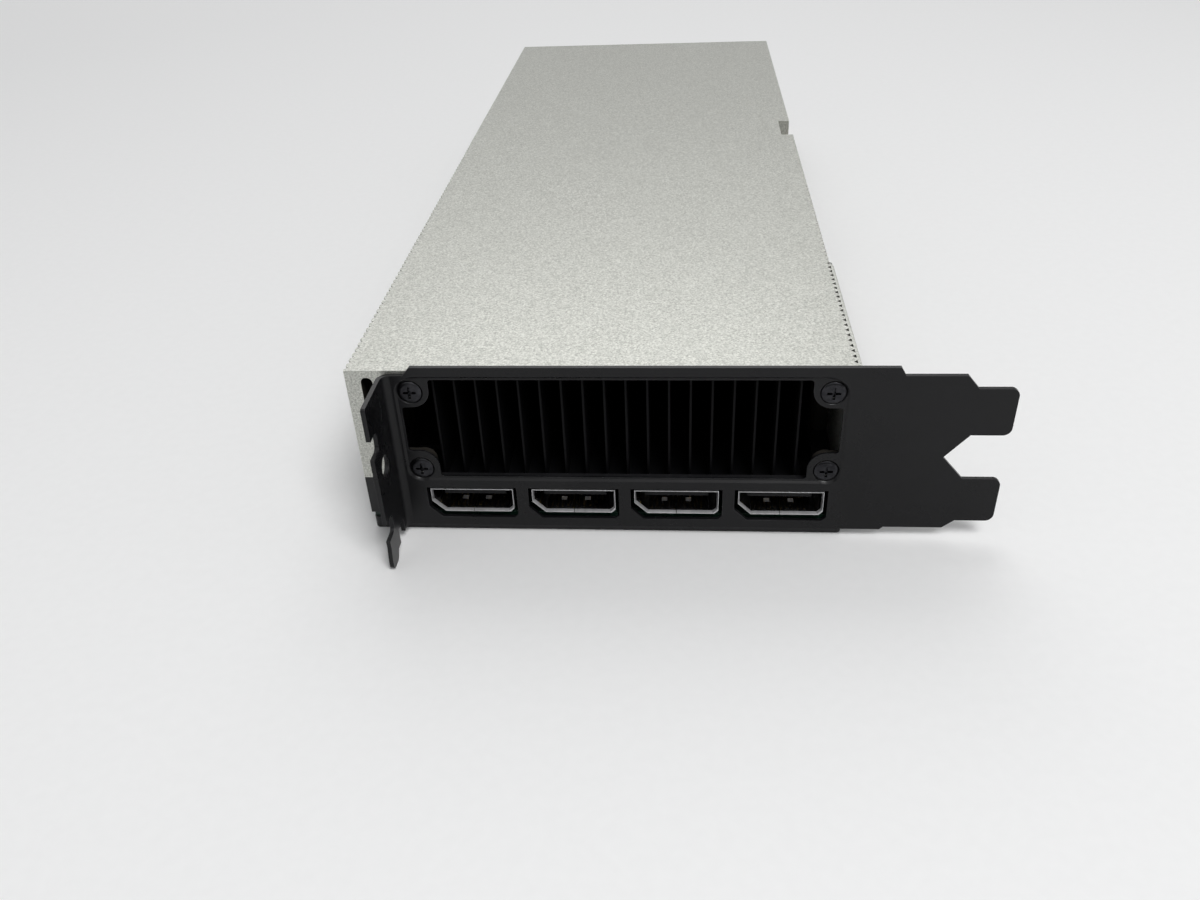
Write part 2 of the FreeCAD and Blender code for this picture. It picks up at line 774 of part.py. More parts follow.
# ---------------------------------------------------------------- bracket
def makeBracket():
    body = newBody("bracket")
    subParts.append(body)
    # folded sheet, seen from above: the plate and the flange that turns outwards
    profile = sketchOn(body, "bracket_profile", "XY_Plane", "bracketLow")
    polygon(
        profile,
        [
            ("flangeX", "flangeEdge"),
            ("flangeX + sheetThick", "flangeEdge"),
            ("flangeX + sheetThick", "front"),
            ("bracketTip", "front"),
            ("bracketTip", "inner"),
            ("flangeX", "inner"),
        ],
    )
    grow(body, "bracket_sheet", profile, "bracketHeight")
    roundEdges(body, "bend_inside", 2, [("flangeX + sheetThick", "front", "0")], "bendRadius")
    roundEdges(body, "bend_outside", 2, [("flangeX", "inner", "0")], "bendRadius + sheetThick")

    # the outline around the tongues and the lowered corner over the flange
    waste = sketchOn(body, "bracket_waste", "XZ_Plane", "1 - flangeEdge")
    polygon(
        waste,
        [
            ("flangeX + bodyAcross", "bracketTop + 1"),
            ("flangeX + bodyAcross", "bracketTop"),
            ("flangeX + bodyAcross + stepSlope", "bracketTop - topStep"),
            ("flangeX + shoulderAcross", "bracketTop - topStep"),
            ("flangeX + tongueAcross", "upperHigh"),
            ("bracketTip + 1", "upperHigh"),
            ("bracketTip + 1", "bracketTop + 1"),
        ],
    )
    polygon(
        waste,
        [
            ("bracketTip + 1", "tongueHigh"),
            ("flangeX + tongueAcross", "tongueHigh"),
            ("flangeX + valleyAcross", "(tongueHigh + upperLow) / 2"),
            ("flangeX + tongueAcross", "upperLow"),
            ("bracketTip + 1", "upperLow"),
        ],
    )
    polygon(
        waste,
        [
            ("flangeX + bodyAcross", "bracketLow - 1"),
            ("bracketTip + 1", "bracketLow - 1"),
            ("bracketTip + 1", "tongueLow"),
            ("flangeX + tongueAcross", "tongueLow"),
            ("flangeX + shoulderAcross", "bracketLow + lowStep"),
            ("flangeX + bodyAcross + lowStep", "bracketLow + lowStep"),
            ("flangeX + bodyAcross", "bracketLow"),
        ],
    )
    polygon(
        waste,
        [
            ("flangeX - 1", "bracketTop + 1"),
            ("flangeX - 1", "bracketTop - cornerStep"),
            ("flangeX + cornerAcross", "bracketTop - cornerStep"),
            ("flangeX + cornerAcross + cornerSlope", "bracketTop"),
            ("flangeX + cornerAcross + cornerSlope", "bracketTop + 1"),
        ],
    )
    sink(body, "bracket_trim", waste, "flangeReach + sheetThick + 2")
    tips = [("bracketTip", "0", z) for z in ("tongueLow", "tongueHigh", "upperLow", "upperHigh")]
    roundEdges(body, "tongue_tips", 1, tips, "tipRadius")

    # recess around the vent, with a sloping edge, and the vent itself
    recess = sketchOn(body, "bracket_recess", "XZ_Plane", "-front")
    roundedRectangle(
        recess,
        ("ventX - ventWidth / 2 - recessMargin", "ventZ - ventHeight / 2 - recessMargin"),
        ("ventX + ventWidth / 2 + recessMargin", "ventZ + ventHeight / 2 + recessMargin"),
        "recessRadius",
    )
    floor = sink(body, "recess_floor", recess, "recessDepth", taper=-45)
    floor.setExpression("TaperAngle", expression("-atan(recessSlope / recessDepth)"))
    settle(body, floor)
    vent = sketchOn(body, "bracket_vent", "XZ_Plane", "-front")
    ventOutline(vent)
    sink(body, "vent_opening", vent, "sheetThick")
    roundVent(body, "vent")

    # windows for the video ports
    windows = sketchOn(body, "bracket_windows", "XZ_Plane", "-front")
    for number in range(count("portCount")):
        portOutline(windows, number, "0", "portCorner", "portGapSide", "portGapBelow", "portGapAbove")
    sink(body, "port_windows", windows, "sheetThick")

    # countersinks for the four vent screws
    sinks = sketchOn(body, "bracket_sinks", "XZ_Plane", "-front")
    for x, z in ventScrewSpots:
        circle(sinks, (x, z), "ventHeadRadius + recessDepth + ventHeadGap")
    sink(body, "vent_sinks", sinks, "sheetThick", taper=-45)

    # flange: two open screw slots, a round hole, the hook and the gap beside it
    cuts = sketchOn(body, "flange_cuts", "YZ_Plane", "flangeX - 1")
    for step in range(2):
        middle = "tongueLow + screwSlotUp + %d * screwSlotPitch" % step
        rectangle(
            cuts,
            ("flangeEdge - 1", middle + " - screwSlotWidth / 2"),
            ("flangeEdge + screwSlotDepth", middle + " + screwSlotWidth / 2"),
        )
    circle(cuts, ("front - flangeHoleIn", "tongueLow + flangeHoleUp"), "flangeHoleRadius")
    rectangle(
        cuts,
        ("flangeEdge + hookWidth", "bracketLow - 1"),
        ("front - bendRadius - sheetThick", "tongueLow + sheetThick"),
    )
    sink(body, "flange_openings", cuts, "sheetThick + 1", alongNormal=True)
    ends = []
    for step in range(2):
        for side in ("-", "+"):
            level = "tongueLow + screwSlotUp + %d * screwSlotPitch %s screwSlotWidth / 2" % (step, side)
            ends.append(("0", "flangeEdge + screwSlotDepth", level))
    roundEdges(body, "slot_ends", 0, ends, "screwSlotWidth * 0.3")
    hook = sketchOn(body, "flange_hook", "YZ_Plane", "flangeX")
    polygon(
        hook,
        [
            ("flangeEdge", "tongueLow + sheetThick"),
            ("flangeEdge - hookLean", "bracketLow + lowStep"),
            ("flangeEdge - hookLean", "tongueLow - hookDrop"),
            ("flangeEdge + hookWidth / 2", "tongueLow - hookDrop"),
            ("flangeEdge + hookWidth", "tongueLow + sheetThick"),
        ],
    )
    grow(body, "hook", hook, "sheetThick")
    spots = [
        ("0", "flangeEdge - hookLean", "tongueLow - hookDrop"),
        ("0", "flangeEdge + hookWidth / 2", "tongueLow - hookDrop"),
    ]
    roundEdges(body, "hook_corners", 0, spots, "hookRadius")
    roundEdges(body, "flange_corner", 0, [("0", "flangeEdge", "bracketTop - cornerStep")], "hookRadius / 2")


# ---------------------------------------------------------------- frame
def makeFrame():
    body = newBody("middle_frame")
    subParts.append(body)
    outline = sketchOn(body, "frame_outline", "XY_Plane", "boardTop")
    rectangle(outline, ("left", "inner"), ("right", "frameBack"))
    rectangle(
        outline,
        ("left + railWidth", "inner + lintelDepth"),
        ("right - railWidth", "frameBack - endWall"),
    )
    grow(body, "frame_ring", outline, "frameHeight")
    web = sketchOn(body, "frame_web", "XY_Plane", "webLow")
    rectangle(
        web,
        ("left + railWidth / 2", "front + webOut"),
        ("right - railWidth / 2", "front + webEnd"),
    )
    grow(body, "frame_plate", web, "webThick")
    # windows in the plate for the processor, its four posts, the coils and the capacitors
    windows = sketchOn(body, "frame_windows", "XY_Plane", "webTop")
    rectangle(
        windows,
        ("chipX - packageSize / 2 - windowMargin", "chipY - packageSize / 2 - windowMargin"),
        ("chipX + packageSize / 2 + windowMargin", "chipY + packageSize / 2 + windowMargin"),
    )
    for row in ("coilOutFront", "coilOutRear"):
        halfRun = "(coilPitch * (coilCount - 1) + coilWidth) / 2 + windowMargin"
        rectangle(
            windows,
            ("chipX - (" + halfRun + ")", "front + " + row + " - coilLength / 2 - windowMargin"),
            ("chipX + (" + halfRun + ")", "front + " + row + " + coilLength / 2 + windowMargin"),
        )
    halfRun = "canPitch * (canCount - 1) / 2 + canRadius + windowMargin"
    rectangle(
        windows,
        ("chipX - (" + halfRun + ")", "front + canOut - canRadius - windowMargin"),
        ("chipX + (" + halfRun + ")", "front + canOut + canRadius + windowMargin"),
    )
    sink(body, "frame_cutouts", windows, "webThick")
    posts = sketchOn(body, "frame_post_holes", "XY_Plane", "webTop")
    for x, y in fixingSpots:
        circle(posts, (x, y), "fixingRadius + clearance * 3")
    sink(body, "frame_post_cuts", posts, "webThick")
    # bay for the video ports behind the bracket
    bay = sketchOn(body, "frame_bay", "XZ_Plane", "-inner")
    lastPort = "portX + portPitch * (portCount - 1)"
    rectangle(
        bay,
        ("portX - portWidth / 2 - bayMargin", "boardTop"),
        (lastPort + " + portWidth / 2 + bayMargin", "lintelLow"),
    )
    sink(body, "port_bay", bay, "bayDepth - sheetThick")
    # opening for the power inlet in the far wall, and the screw holes
    inlet = sketchOn(body, "frame_inlet", "XY_Plane", "frameTop")
    rectangle(
        inlet,
        ("inletX - clearance", "back - inletDepth - clearance"),
        ("inletX + inletWidth + clearance", "back"),
    )
    sink(body, "inlet_bay", inlet, "frameHeight")
    holes = sketchOn(body, "frame_holes", "XY_Plane", "frameTop")
    for x, y in sideScrewSpots:
        circle(holes, (x, y), "sideScrewRadius + clearance")
    sink(body, "frame_bores", holes, "frameHeight")
    ends = sketchOn(body, "frame_end_holes", "XZ_Plane", "-frameBack")
    for side in ("-", "+"):
        across = "middle + endScrewShift %s endScrewSpan / 2" % side
        circle(ends, (across, "tongueLow + endScrewUp"), "endScrewRadius")
    sink(body, "frame_end_bores", ends, "endScrewLength - endThick", alongNormal=True)


# ---------------------------------------------------------------- shroud
def makeShroud():
    body = newBody("shroud")
    subParts.append(body)
    outline = sketchOn(body, "shroud_outline", "XY_Plane", "frameTop")
    rectangle(outline, ("left", "inner"), ("right", "back"))
    grow(body, "shroud_block", outline, "shroudHeight")
    hollow = sketchOn(body, "shroud_hollow", "XY_Plane", "frameTop")
    rectangle(
        hollow,
        ("left + shroudSide", "inner + shroudFront"),
        ("right - shroudSide", "back + 1"),
    )
    sink(body, "shroud_tunnel", hollow, "shroudHeight - shroudTop", alongNormal=True)
    # solid wall behind the notch, then the notch
    backing = sketchOn(body, "notch_backing", "XY_Plane", "frameTop")
    rectangle(
        backing,
        ("right - notchDepth - notchWall", "front + notchOut - notchWall"),
        ("right - shroudSide / 2", "front + notchOut + notchLength + notchWall"),
    )
    grow(body, "notch_wall", backing, "shroudHeight - shroudTop / 2")
    notch = sketchOn(body, "notch_outline", "XY_Plane", "cardTop")
    rectangle(
        notch,
        ("right - notchDepth", "front + notchOut"),
        ("right + 1", "front + notchOut + notchLength"),
    )
    sink(body, "notch", notch, "shroudHeight")
    # posts for the long screws that come up through the frame
    posts = sketchOn(body, "shroud_posts", "XY_Plane", "frameTop")
    for x, y in sideScrewSpots:
        circle(posts, (x, y), "postRadius")
    grow(body, "screw_posts", posts, "postHeight")
    pilots = sketchOn(body, "shroud_pilots", "XY_Plane", "frameTop")
    for x, y in sideScrewSpots:
        circle(pilots, (x, y), "sideScrewRadius")
    sink(body, "screw_pilots", pilots, "sideScrewBite", alongNormal=True)
    # opening in the front wall, bosses behind the vent's screws and their bores
    vent = sketchOn(body, "shroud_vent", "XZ_Plane", "-inner")
    west = "ventX - ventWidth / 2 + lobeWidth - ventEase"
    east = "ventX + ventWidth / 2 - lobeWidth + ventEase"
    low = "ventZ - ventHeight / 2 + lobeHeight - ventEase"
    high = "ventZ + ventHeight / 2 - lobeHeight + ventEase"
    farWest = "ventX - ventWidth / 2 - ventEase"
    farEast = "right - shroudSide"
    polygon(
        vent,
        [
            (farWest, low),
            (west, low),
            (west, "frameTop - 1"),
            (east, "frameTop - 1"),
            (east, low),
            (farEast, low),
            (farEast, high),
            (east, high),
            (east, "ventZ + ventHeight / 2"),
            (west, "ventZ + ventHeight / 2"),
            (west, high),
            (farWest, high),
        ],
    )
    sink(body, "shroud_vent_opening", vent, "shroudFront")
    spots = [(x, "0", z) for x in (west, east) for z in (low, high)]
    roundEdges(body, "shroud_lobes", 1, spots, "min(lobeRadius; lobeHeight; lobeWidth) * 0.6")
    bosses = sketchOn(body, "shroud_bosses", "XZ_Plane", "-(inner + shroudFront + bossLength)")
    for x, z in ventScrewSpots:
        circle(bosses, (x, z), "bossRadius")
    grow(body, "vent_bosses", bosses, "bossLength + shroudFront / 2")
    bores = sketchOn(body, "shroud_bores", "XZ_Plane", "-inner")
    for x, z in ventScrewSpots:
        circle(bores, (x, z), "ventScrewRadius")
    sink(body, "vent_bores", bores, "ventScrewLength")
    # upright slot beside the flange
    slot = sketchOn(body, "shroud_slot", "XZ_Plane", "-inner")
    rectangle(
        slot,
        ("left + slotAway - slotWidth / 2", "cardTop - slotTop - slotLength"),
        ("left + slotAway + slotWidth / 2", "cardTop - slotTop"),
    )
    sink(body, "front_slot", slot, "shroudFront")
    spots = []
    for x in ("left + slotAway - slotWidth / 2", "left + slotAway + slotWidth / 2"):
        for z in ("cardTop - slotTop - slotLength", "cardTop - slotTop"):
            spots.append((x, "0", z))
    roundEdges(body, "slot_rounding", 1, spots, "slotWidth * 0.48")
    # upright grooves down both long sides, from the bracket to the notch
    groove = sketchOn(body, "shroud_groove", "XY_Plane", "cardTop")
    for side, sign in (("left", "+"), ("right", "-")):
        polygon(
            groove,
            [
                (side, "front + ribOut - ribWidth / 2"),
                (side + " " + sign + " ribDepth", "front + ribOut"),
                (side, "front + ribOut + ribWidth / 2"),
            ],
        )
    first = sink(body, "first_groove", groove, "shroudHeight")
    pattern = body.newObject("PartDesign::LinearPattern", "grooves")
    pattern.Originals = [first]
    direction = [item for item in body.Origin.OriginFeatures if item.Role == "Y_Axis"][0]
    pattern.Direction = (direction, [""])
    pattern.Mode = "Spacing"
    pattern.setExpression("Offset", expression("ribPitch"))
    pattern.setExpression("Occurrences", expression("ribCount"))
    settle(body, pattern)


def makeStrip():
    body = newBody("side_strip")
    subParts.append(body)
    outline = sketchOn(body, "strip_outline", "XY_Plane", "frameTop")
    polygon(
        outline,
        [
            ("right", "inner"),
            ("right + stripThick", "inner"),
            ("right + stripThick", "front + stripEnd - stripSlope"),
            ("right", "front + stripEnd"),
        ],
    )
    grow(body, "strip_bar", outline, "shroudHeight")


# ---------------------------------------------------------------- video ports
def makePort(number):
    name = "video_port_%d" % (number + 1)
    middle = "portX + %d * portPitch" % number
    shell = newBody(name + "_shell")
    subParts.append(shell)
    back = "portFront + portDepth"
    ring = sketchOn(shell, name + "_ring", "XZ_Plane", "-(" + back + ")")
    portOutline(ring, number, "0", "portCorner")
    portOutline(ring, number, "portWall", "portInnerCorner")
    grow(shell, name + "_tube", ring, "portDepth")
    springs = sketchOn(shell, name + "_springs", "YZ_Plane", middle + " - portSpringAway - portSpringWidth / 2")
    springFoot = "portLow + portWall / 2"
    polygon(
        springs,
        [
            ("portFront + portSpringIn", springFoot),
            ("portFront + portSpringIn + portSpringLength", springFoot),
            ("portFront + portSpringIn + portSpringLength / 2", "portLow + portWall + portSpringHeight"),
        ],
    )
    spring = grow(shell, name + "_spring", springs, "portSpringWidth")
    pair = shell.newObject("PartDesign::LinearPattern", name + "_spring_pair")
    pair.Originals = [spring]
    direction = [item for item in shell.Origin.OriginFeatures if item.Role == "X_Axis"][0]
    pair.Direction = (direction, [""])
    pair.Mode = "Spacing"
    pair.setExpression("Offset", expression("portSpringAway * 2"))
    pair.Occurrences = 2
    settle(shell, pair)
    seam = sketchOn(shell, name + "_seam_line", "XZ_Plane", "-portFront")
    rectangle(
        seam,
        (middle + " - portSeam / 2", "portLow - portSeam"),
        (middle + " + portSeam / 2", "portLow + portWall + portSeam"),
    )
    sink(shell, name + "_seam", seam, "portDepth - portCoreDepth")

    core = newBody(name + "_core")
    subParts.append(core)
    rear = sketchOn(core, name + "_rear", "XZ_Plane", "-(" + back + ")")
    portOutline(rear, number, "portWall", "portInnerCorner")
    grow(core, name + "_body", rear, "portCoreDepth")
    tongue = sketchOn(core, name + "_tongue", "XZ_Plane", "-(" + back + " - portCoreDepth / 2)")
    tongueFoot = "portLow + (portHeight - tongueThick) / 2"
    rectangle(
        tongue,
        (middle + " - tongueWide / 2", tongueFoot),
        (middle + " + tongueWide / 2", tongueFoot + " + tongueThick"),
    )
    grow(core, name + "_blade", tongue, "portDepth - portCoreDepth / 2 - tongueSink")


def makePortContacts(number):
    name = "video_port_%d" % (number + 1)
    middle = "portX + %d * portPitch" % number
    tongueFoot = "portLow + (portHeight - tongueThick) / 2"
    contacts = []
    for column in range(count("contactCount")):
        offset = "(%d - (contactCount - 1) / 2) * contactPitch" % column
        for level, height in (("upper", tongueFoot + " + tongueThick"), ("lower", tongueFoot + " - contactThick")):
            contacts.append(
                block(
                    "%s_%s_contact_%d" % (name, level, column + 1),
                    (middle + " + " + offset + " - contactWidth / 2", "portFront + tongueSink + contactWidth", height),
                    ("contactWidth", "contactLength", "contactThick"),
                )
            )
    subParts.append(separate(name + "_contacts", contacts))


# ---------------------------------------------------------------- processor, memory, power parts
def makeBoardParts():
    half = "packageSize / 2"
    subParts.append(
        block("gpu_package", ("chipX - " + half, "chipY - " + half, "boardTop"), ("packageSize", "packageSize", "packageThick"))
    )
    subParts.append(
        block(
            "gpu_die",
            ("chipX - dieWidth / 2", "chipY - dieLength / 2", "packageTop"),
            ("dieWidth", "dieLength", "dieThick"),
        )
    )
    chips = []
    pads = []
    for index in range(count("memoryRow")):
        shift = "(%d - (memoryRow - 1) / 2) * memoryPitch" % index
        for side in ("-", "+"):
            spots = (
                ("chipX %s memoryAway" % side, "chipY + " + shift, "memoryWidth", "memoryLength"),
                ("chipX + " + shift, "chipY %s memoryAway" % side, "memoryLength", "memoryWidth"),
            )
            for x, y, wide, deep in spots:
                label = "memory_%d" % (len(chips) + 1)
                corner = (x + " - " + wide + " / 2", y + " - " + deep + " / 2")
                chips.append(block(label, corner + ("boardTop",), (wide, deep, "memoryThick")))
                pads.append(
                    block(label + "_pad", corner + ("boardTop + memoryThick",), (wide, deep, "webGap - memoryThick"))
                )
    subParts.append(separate("memory_chips", chips))
    subParts.append(separate("memory_thermal_pads", pads))

    coils = []
    stages = []
    stagePads = []
    for row, away in (("coilOutFront", "-"), ("coilOutRear", "+")):
        for index in range(count("coilCount")):
            middle = "chipX + (%d - (coilCount - 1) / 2) * coilPitch" % index
            coils.append(
                block(
                    "coil_%d" % (len(coils) + 1),
                    (middle + " - coilWidth / 2", "front + " + row + " - coilLength / 2", "boardTop"),
                    ("coilWidth", "coilLength", "coilHeight"),
                )
            )
            corner = (middle + " - stageWidth / 2", "front + %s %s stageAway - stageLength / 2" % (row, away))
            label = "stage_%d" % (len(stages) + 1)
            stages.append(block(label, corner + ("boardTop",), ("stageWidth", "stageLength", "stageThick")))
            stagePads.append(
                block(
                    label + "_pad",
                    corner + ("boardTop + stageThick",),
                    ("stageWidth", "stageLength", "webGap - stageThick"),
                )
            )
    subParts.append(separate("inductors", coils))
    subParts.append(separate("power_stages", stages))
    subParts.append(separate("power_stage_thermal_pads", stagePads))

    cans = []
    for index in range(count("canCount")):
        middle = "chipX + (%d - (canCount - 1) / 2) * canPitch" % index
        cans.append(rod("can_%d" % (index + 1), (middle, "front + canOut", "boardTop"), "canRadius", "canHeight"))
    subParts.append(separate("capacitors", cans))

    controllers = []
    for index in range(count("controllerCount")):
        middle = "chipX + (%d - (controllerCount - 1) / 2) * controllerPitch" % index
        controllers.append(
            block(
                "controller_%d" % (index + 1),
                (middle + " - controllerSize / 2", "front + controllerOut - controllerSize / 2", "boardTop"),
                ("controllerSize", "controllerSize", "controllerThick"),
            )
        )
    subParts.append(separate("controller_chips", controllers))


# ---------------------------------------------------------------- cooler
def makeCooler():
    chamber = newBody("vapour_chamber")
    subParts.append(chamber)
    plate = sketchOn(chamber, "chamber_outline", "XY_Plane", "dieTop")
    rectangle(
        plate,
        ("chipX - chamberWidth / 2", "chipY - chamberLength / 2"),
        ("chipX + chamberWidth / 2", "chipY + chamberLength / 2"),
    )
    grow(chamber, "chamber_plate", plate, "chamberThick")
    spots = []
    for x in ("chipX - chamberWidth / 2", "chipX + chamberWidth / 2"):
        for y in ("chipY - chamberLength / 2", "chipY + chamberLength / 2"):
            spots.append((x, y, "0"))
    roundEdges(chamber, "chamber_corners", 2, spots, "chamberThick")
    posts = sketchOn(chamber, "chamber_posts", "XY_Plane", "boardTop")
    for x, y in fixingSpots:
        circle(posts, (x, y), "fixingRadius")
    grow(chamber, "fixing_posts", posts, "dieTop - boardTop + chamberThick / 2")
    bores = sketchOn(chamber, "chamber_bores", "XY_Plane", "boardTop")
    for x, y in fixingSpots:
        circle(bores, (x, y), "springScrewRadius")
    sink(chamber, "fixing_bores", bores, "springScrewBite", alongNormal=True)

    stack = newBody("fin_stack")
    subParts.append(stack)
    base = sketchOn(stack, "fin_base", "XY_Plane", "chamberTop")
    rectangle(
        base,
        ("finX - baseMargin", "front + baseOut"),
        ("finX + finSpan + baseMargin", "front + finEnd"),
    )
    grow(stack, "base_plate", base, "baseThick")
    # thin sheet under the fins' front ends, over the video ports
    apron = sketchOn(stack, "fin_apron", "XY_Plane", "finLow - apronThick")
    rectangle(
        apron,
        ("finX - baseMargin", "front + finOut"),
        ("finX + finSpan + baseMargin", "front + baseOut + apronThick"),
    )
    grow(stack, "apron_sheet", apron, "apronThick")
    edge = sketchOn(stack, "fin_edge", "XY_Plane", "finLow")
    rectangle(edge, ("finX - finThick / 2", "front + finOut"), ("finX + finThick / 2", "front + finEnd"))
    fin = grow(stack, "first_fin", edge, "finTop - finLow")
    pattern = stack.newObject("PartDesign::LinearPattern", "fins")
    pattern.Originals = [fin]
    direction = [item for item in stack.Origin.OriginFeatures if item.Role == "X_Axis"][0]
    pattern.Direction = (direction, [""])
    pattern.Mode = "Spacing"
    pattern.setExpression("Offset", expression("finPitch"))
    pattern.setExpression("Occurrences", expression("finCount"))
    settle(stack, pattern)


def makeSpring():
    spring = newBody("retention_spring")
    subParts.append(spring)
    reach = "fixingAway"
    half = "springWidth / 2 * 1.4142"
    for name, sign in (("rising", "+"), ("falling", "-")):
        arm = sketchOn(spring, name + "_arm", "XY_Plane", "springLow")
        other = "-" if sign == "+" else "+"
        polygon(
            arm,
            [
                ("chipX - " + reach + " + " + half + " / 2", "chipY %s %s %s (%s) / 2" % (other, reach, other, half)),
                ("chipX + " + reach + " + " + half + " / 2", "chipY %s %s %s (%s) / 2" % (sign, reach, other, half)),
                ("chipX + " + reach + " - " + half + " / 2", "chipY %s %s %s (%s) / 2" % (sign, reach, sign, half)),
                ("chipX - " + reach + " - " + half + " / 2", "chipY %s %s %s (%s) / 2" % (other, reach, sign, half)),
            ],
        )
        grow(spring, name + "_bar", arm, "springThick")
    hub = sketchOn(spring, "spring_hub", "XY_Plane", "springLow")
    circle(hub, ("chipX", "chipY"), "springHub")
    for x, y in fixingSpots:
        circle(hub, (x, y), "springWidth / 2")
    grow(spring, "spring_pads", hub, "springThick")
    holes = sketchOn(spring, "spring_holes", "XY_Plane", "springLow")
    for x, y in fixingSpots:
        circle(holes, (x, y), "springScrewRadius + clearance")
    circle(holes, ("chipX", "chipY"), "springHub / 2")
    sink(spring, "spring_bores", holes, "springThick", alongNormal=True)

    screws = []
    for index, (x, y) in enumerate(fixingSpots, start=1):
        shank = rod(
            "spring_shank_%d" % index,
            (x, y, "springLow"),
            "springScrewRadius",
            "boardTop + springScrewBite - springLow",
        )
        head = rod(
            "spring_head_%d" % index,
            (x, y, "springLow - springHeadThick"),
            "springHeadRadius",
            "springHeadThick",
        )
        solid = fused("spring_screw_solid_%d" % index, [shank, head])
        screws.append(crossed("spring_screw_%d" % index, solid, (x, y, "springLow - springHeadThick")))
    subParts.append(separate("spring_screws", screws))


# ---------------------------------------------------------------- screws
def crossed(label, solid, spot, alongY=False):
    """Cut a cross recess into a screw's head; the spot is the middle of its outer face."""
    x, y, z = spot
    bars = []
    for turn, (wide, deep) in enumerate((("crossLength", "crossWidth"), ("crossWidth", "crossLength"))):
        name = "%s_bar_%d" % (label, turn + 1)
        if alongY:
            corner = (x + " - " + wide + " / 2", y + " - crossDepth", z + " - " + deep + " / 2")
            bars.append(block(name, corner, (wide, "crossDepth * 2", deep)))
        else:
            corner = (x + " - " + wide + " / 2", y + " - " + deep + " / 2", z + " - crossDepth")
            bars.append(block(name, corner, (wide, deep, "crossDepth * 2")))
    return cut(label, solid, fused(label + "_cross", bars))


def makeScrews():
    screws = []
    for index, (x, z) in enumerate(ventScrewSpots, start=1):
        face = "front + recessDepth"
        head = cone(
            "vent_head_%d" % index,
            (x, face, z),
            "ventHeadRadius",
            "ventHeadRadius - sheetThick + recessDepth",
            "sheetThick - recessDepth",
            alongY=True,
        )
        shank = rod(
            "vent_shank_%d" % index,
            (x, face, z),
            "ventScrewRadius",
            "sheetThick - recessDepth + ventScrewLength",
            alongY=True,
        )
        top = face + " - ventCrown"
        crown = cone(
            "vent_crown_%d" % index,
            (x, top, z),
            "ventHeadRadius - ventCrownInset",
            "ventHeadRadius",
            "ventCrown",
            alongY=True,
        )
        solid = fused("vent_screw_solid_%d" % index, [crown, head, shank])
        screws.append(crossed("vent_screw_%d" % index, solid, (x, top, z), alongY=True))
    subParts.append(separate("bracket_screws", screws))

    screws = []
    for index, (x, y) in enumerate(sideScrewSpots, start=1):
        head = cone(
            "side_head_%d" % index,
            (x, y, "0"),
            "sideHeadRadius",
            "sideScrewRadius",
            "sideHeadRadius - sideScrewRadius",
        )
        shank = rod("side_shank_%d" % index, (x, y, "0"), "sideScrewRadius", "frameTop + sideScrewBite")
        solid = fused("side_screw_solid_%d" % index, [head, shank])
        screws.append(crossed("side_screw_%d" % index, solid, (x, y, "0")))
    subParts.append(separate("backplate_screws", screws))

    screws = []
    for index, side in enumerate(("-", "+"), start=1):
        spot = ("middle + endScrewShift %s endScrewSpan / 2" % side, "back - endScrewLength", "tongueLow + endScrewUp")
        shank = rod("end_shank_%d" % index, spot, "endScrewRadius", "endScrewLength", alongY=True)
        headFoot = (spot[0], "back - (endHeadRadius - endScrewRadius)", spot[2])
        head = cone(
            "end_head_%d" % index,
            headFoot,
            "endScrewRadius",
            "endHeadRadius",
            "endHeadRadius - endScrewRadius",
            alongY=True,
        )
        solid = fused("end_screw_solid_%d" % index, [shank, head])
        screws.append(crossed("end_screw_%d" % index, solid, (spot[0], "back", spot[2]), alongY=True))
    subParts.append(separate("end_plate_screws", screws))


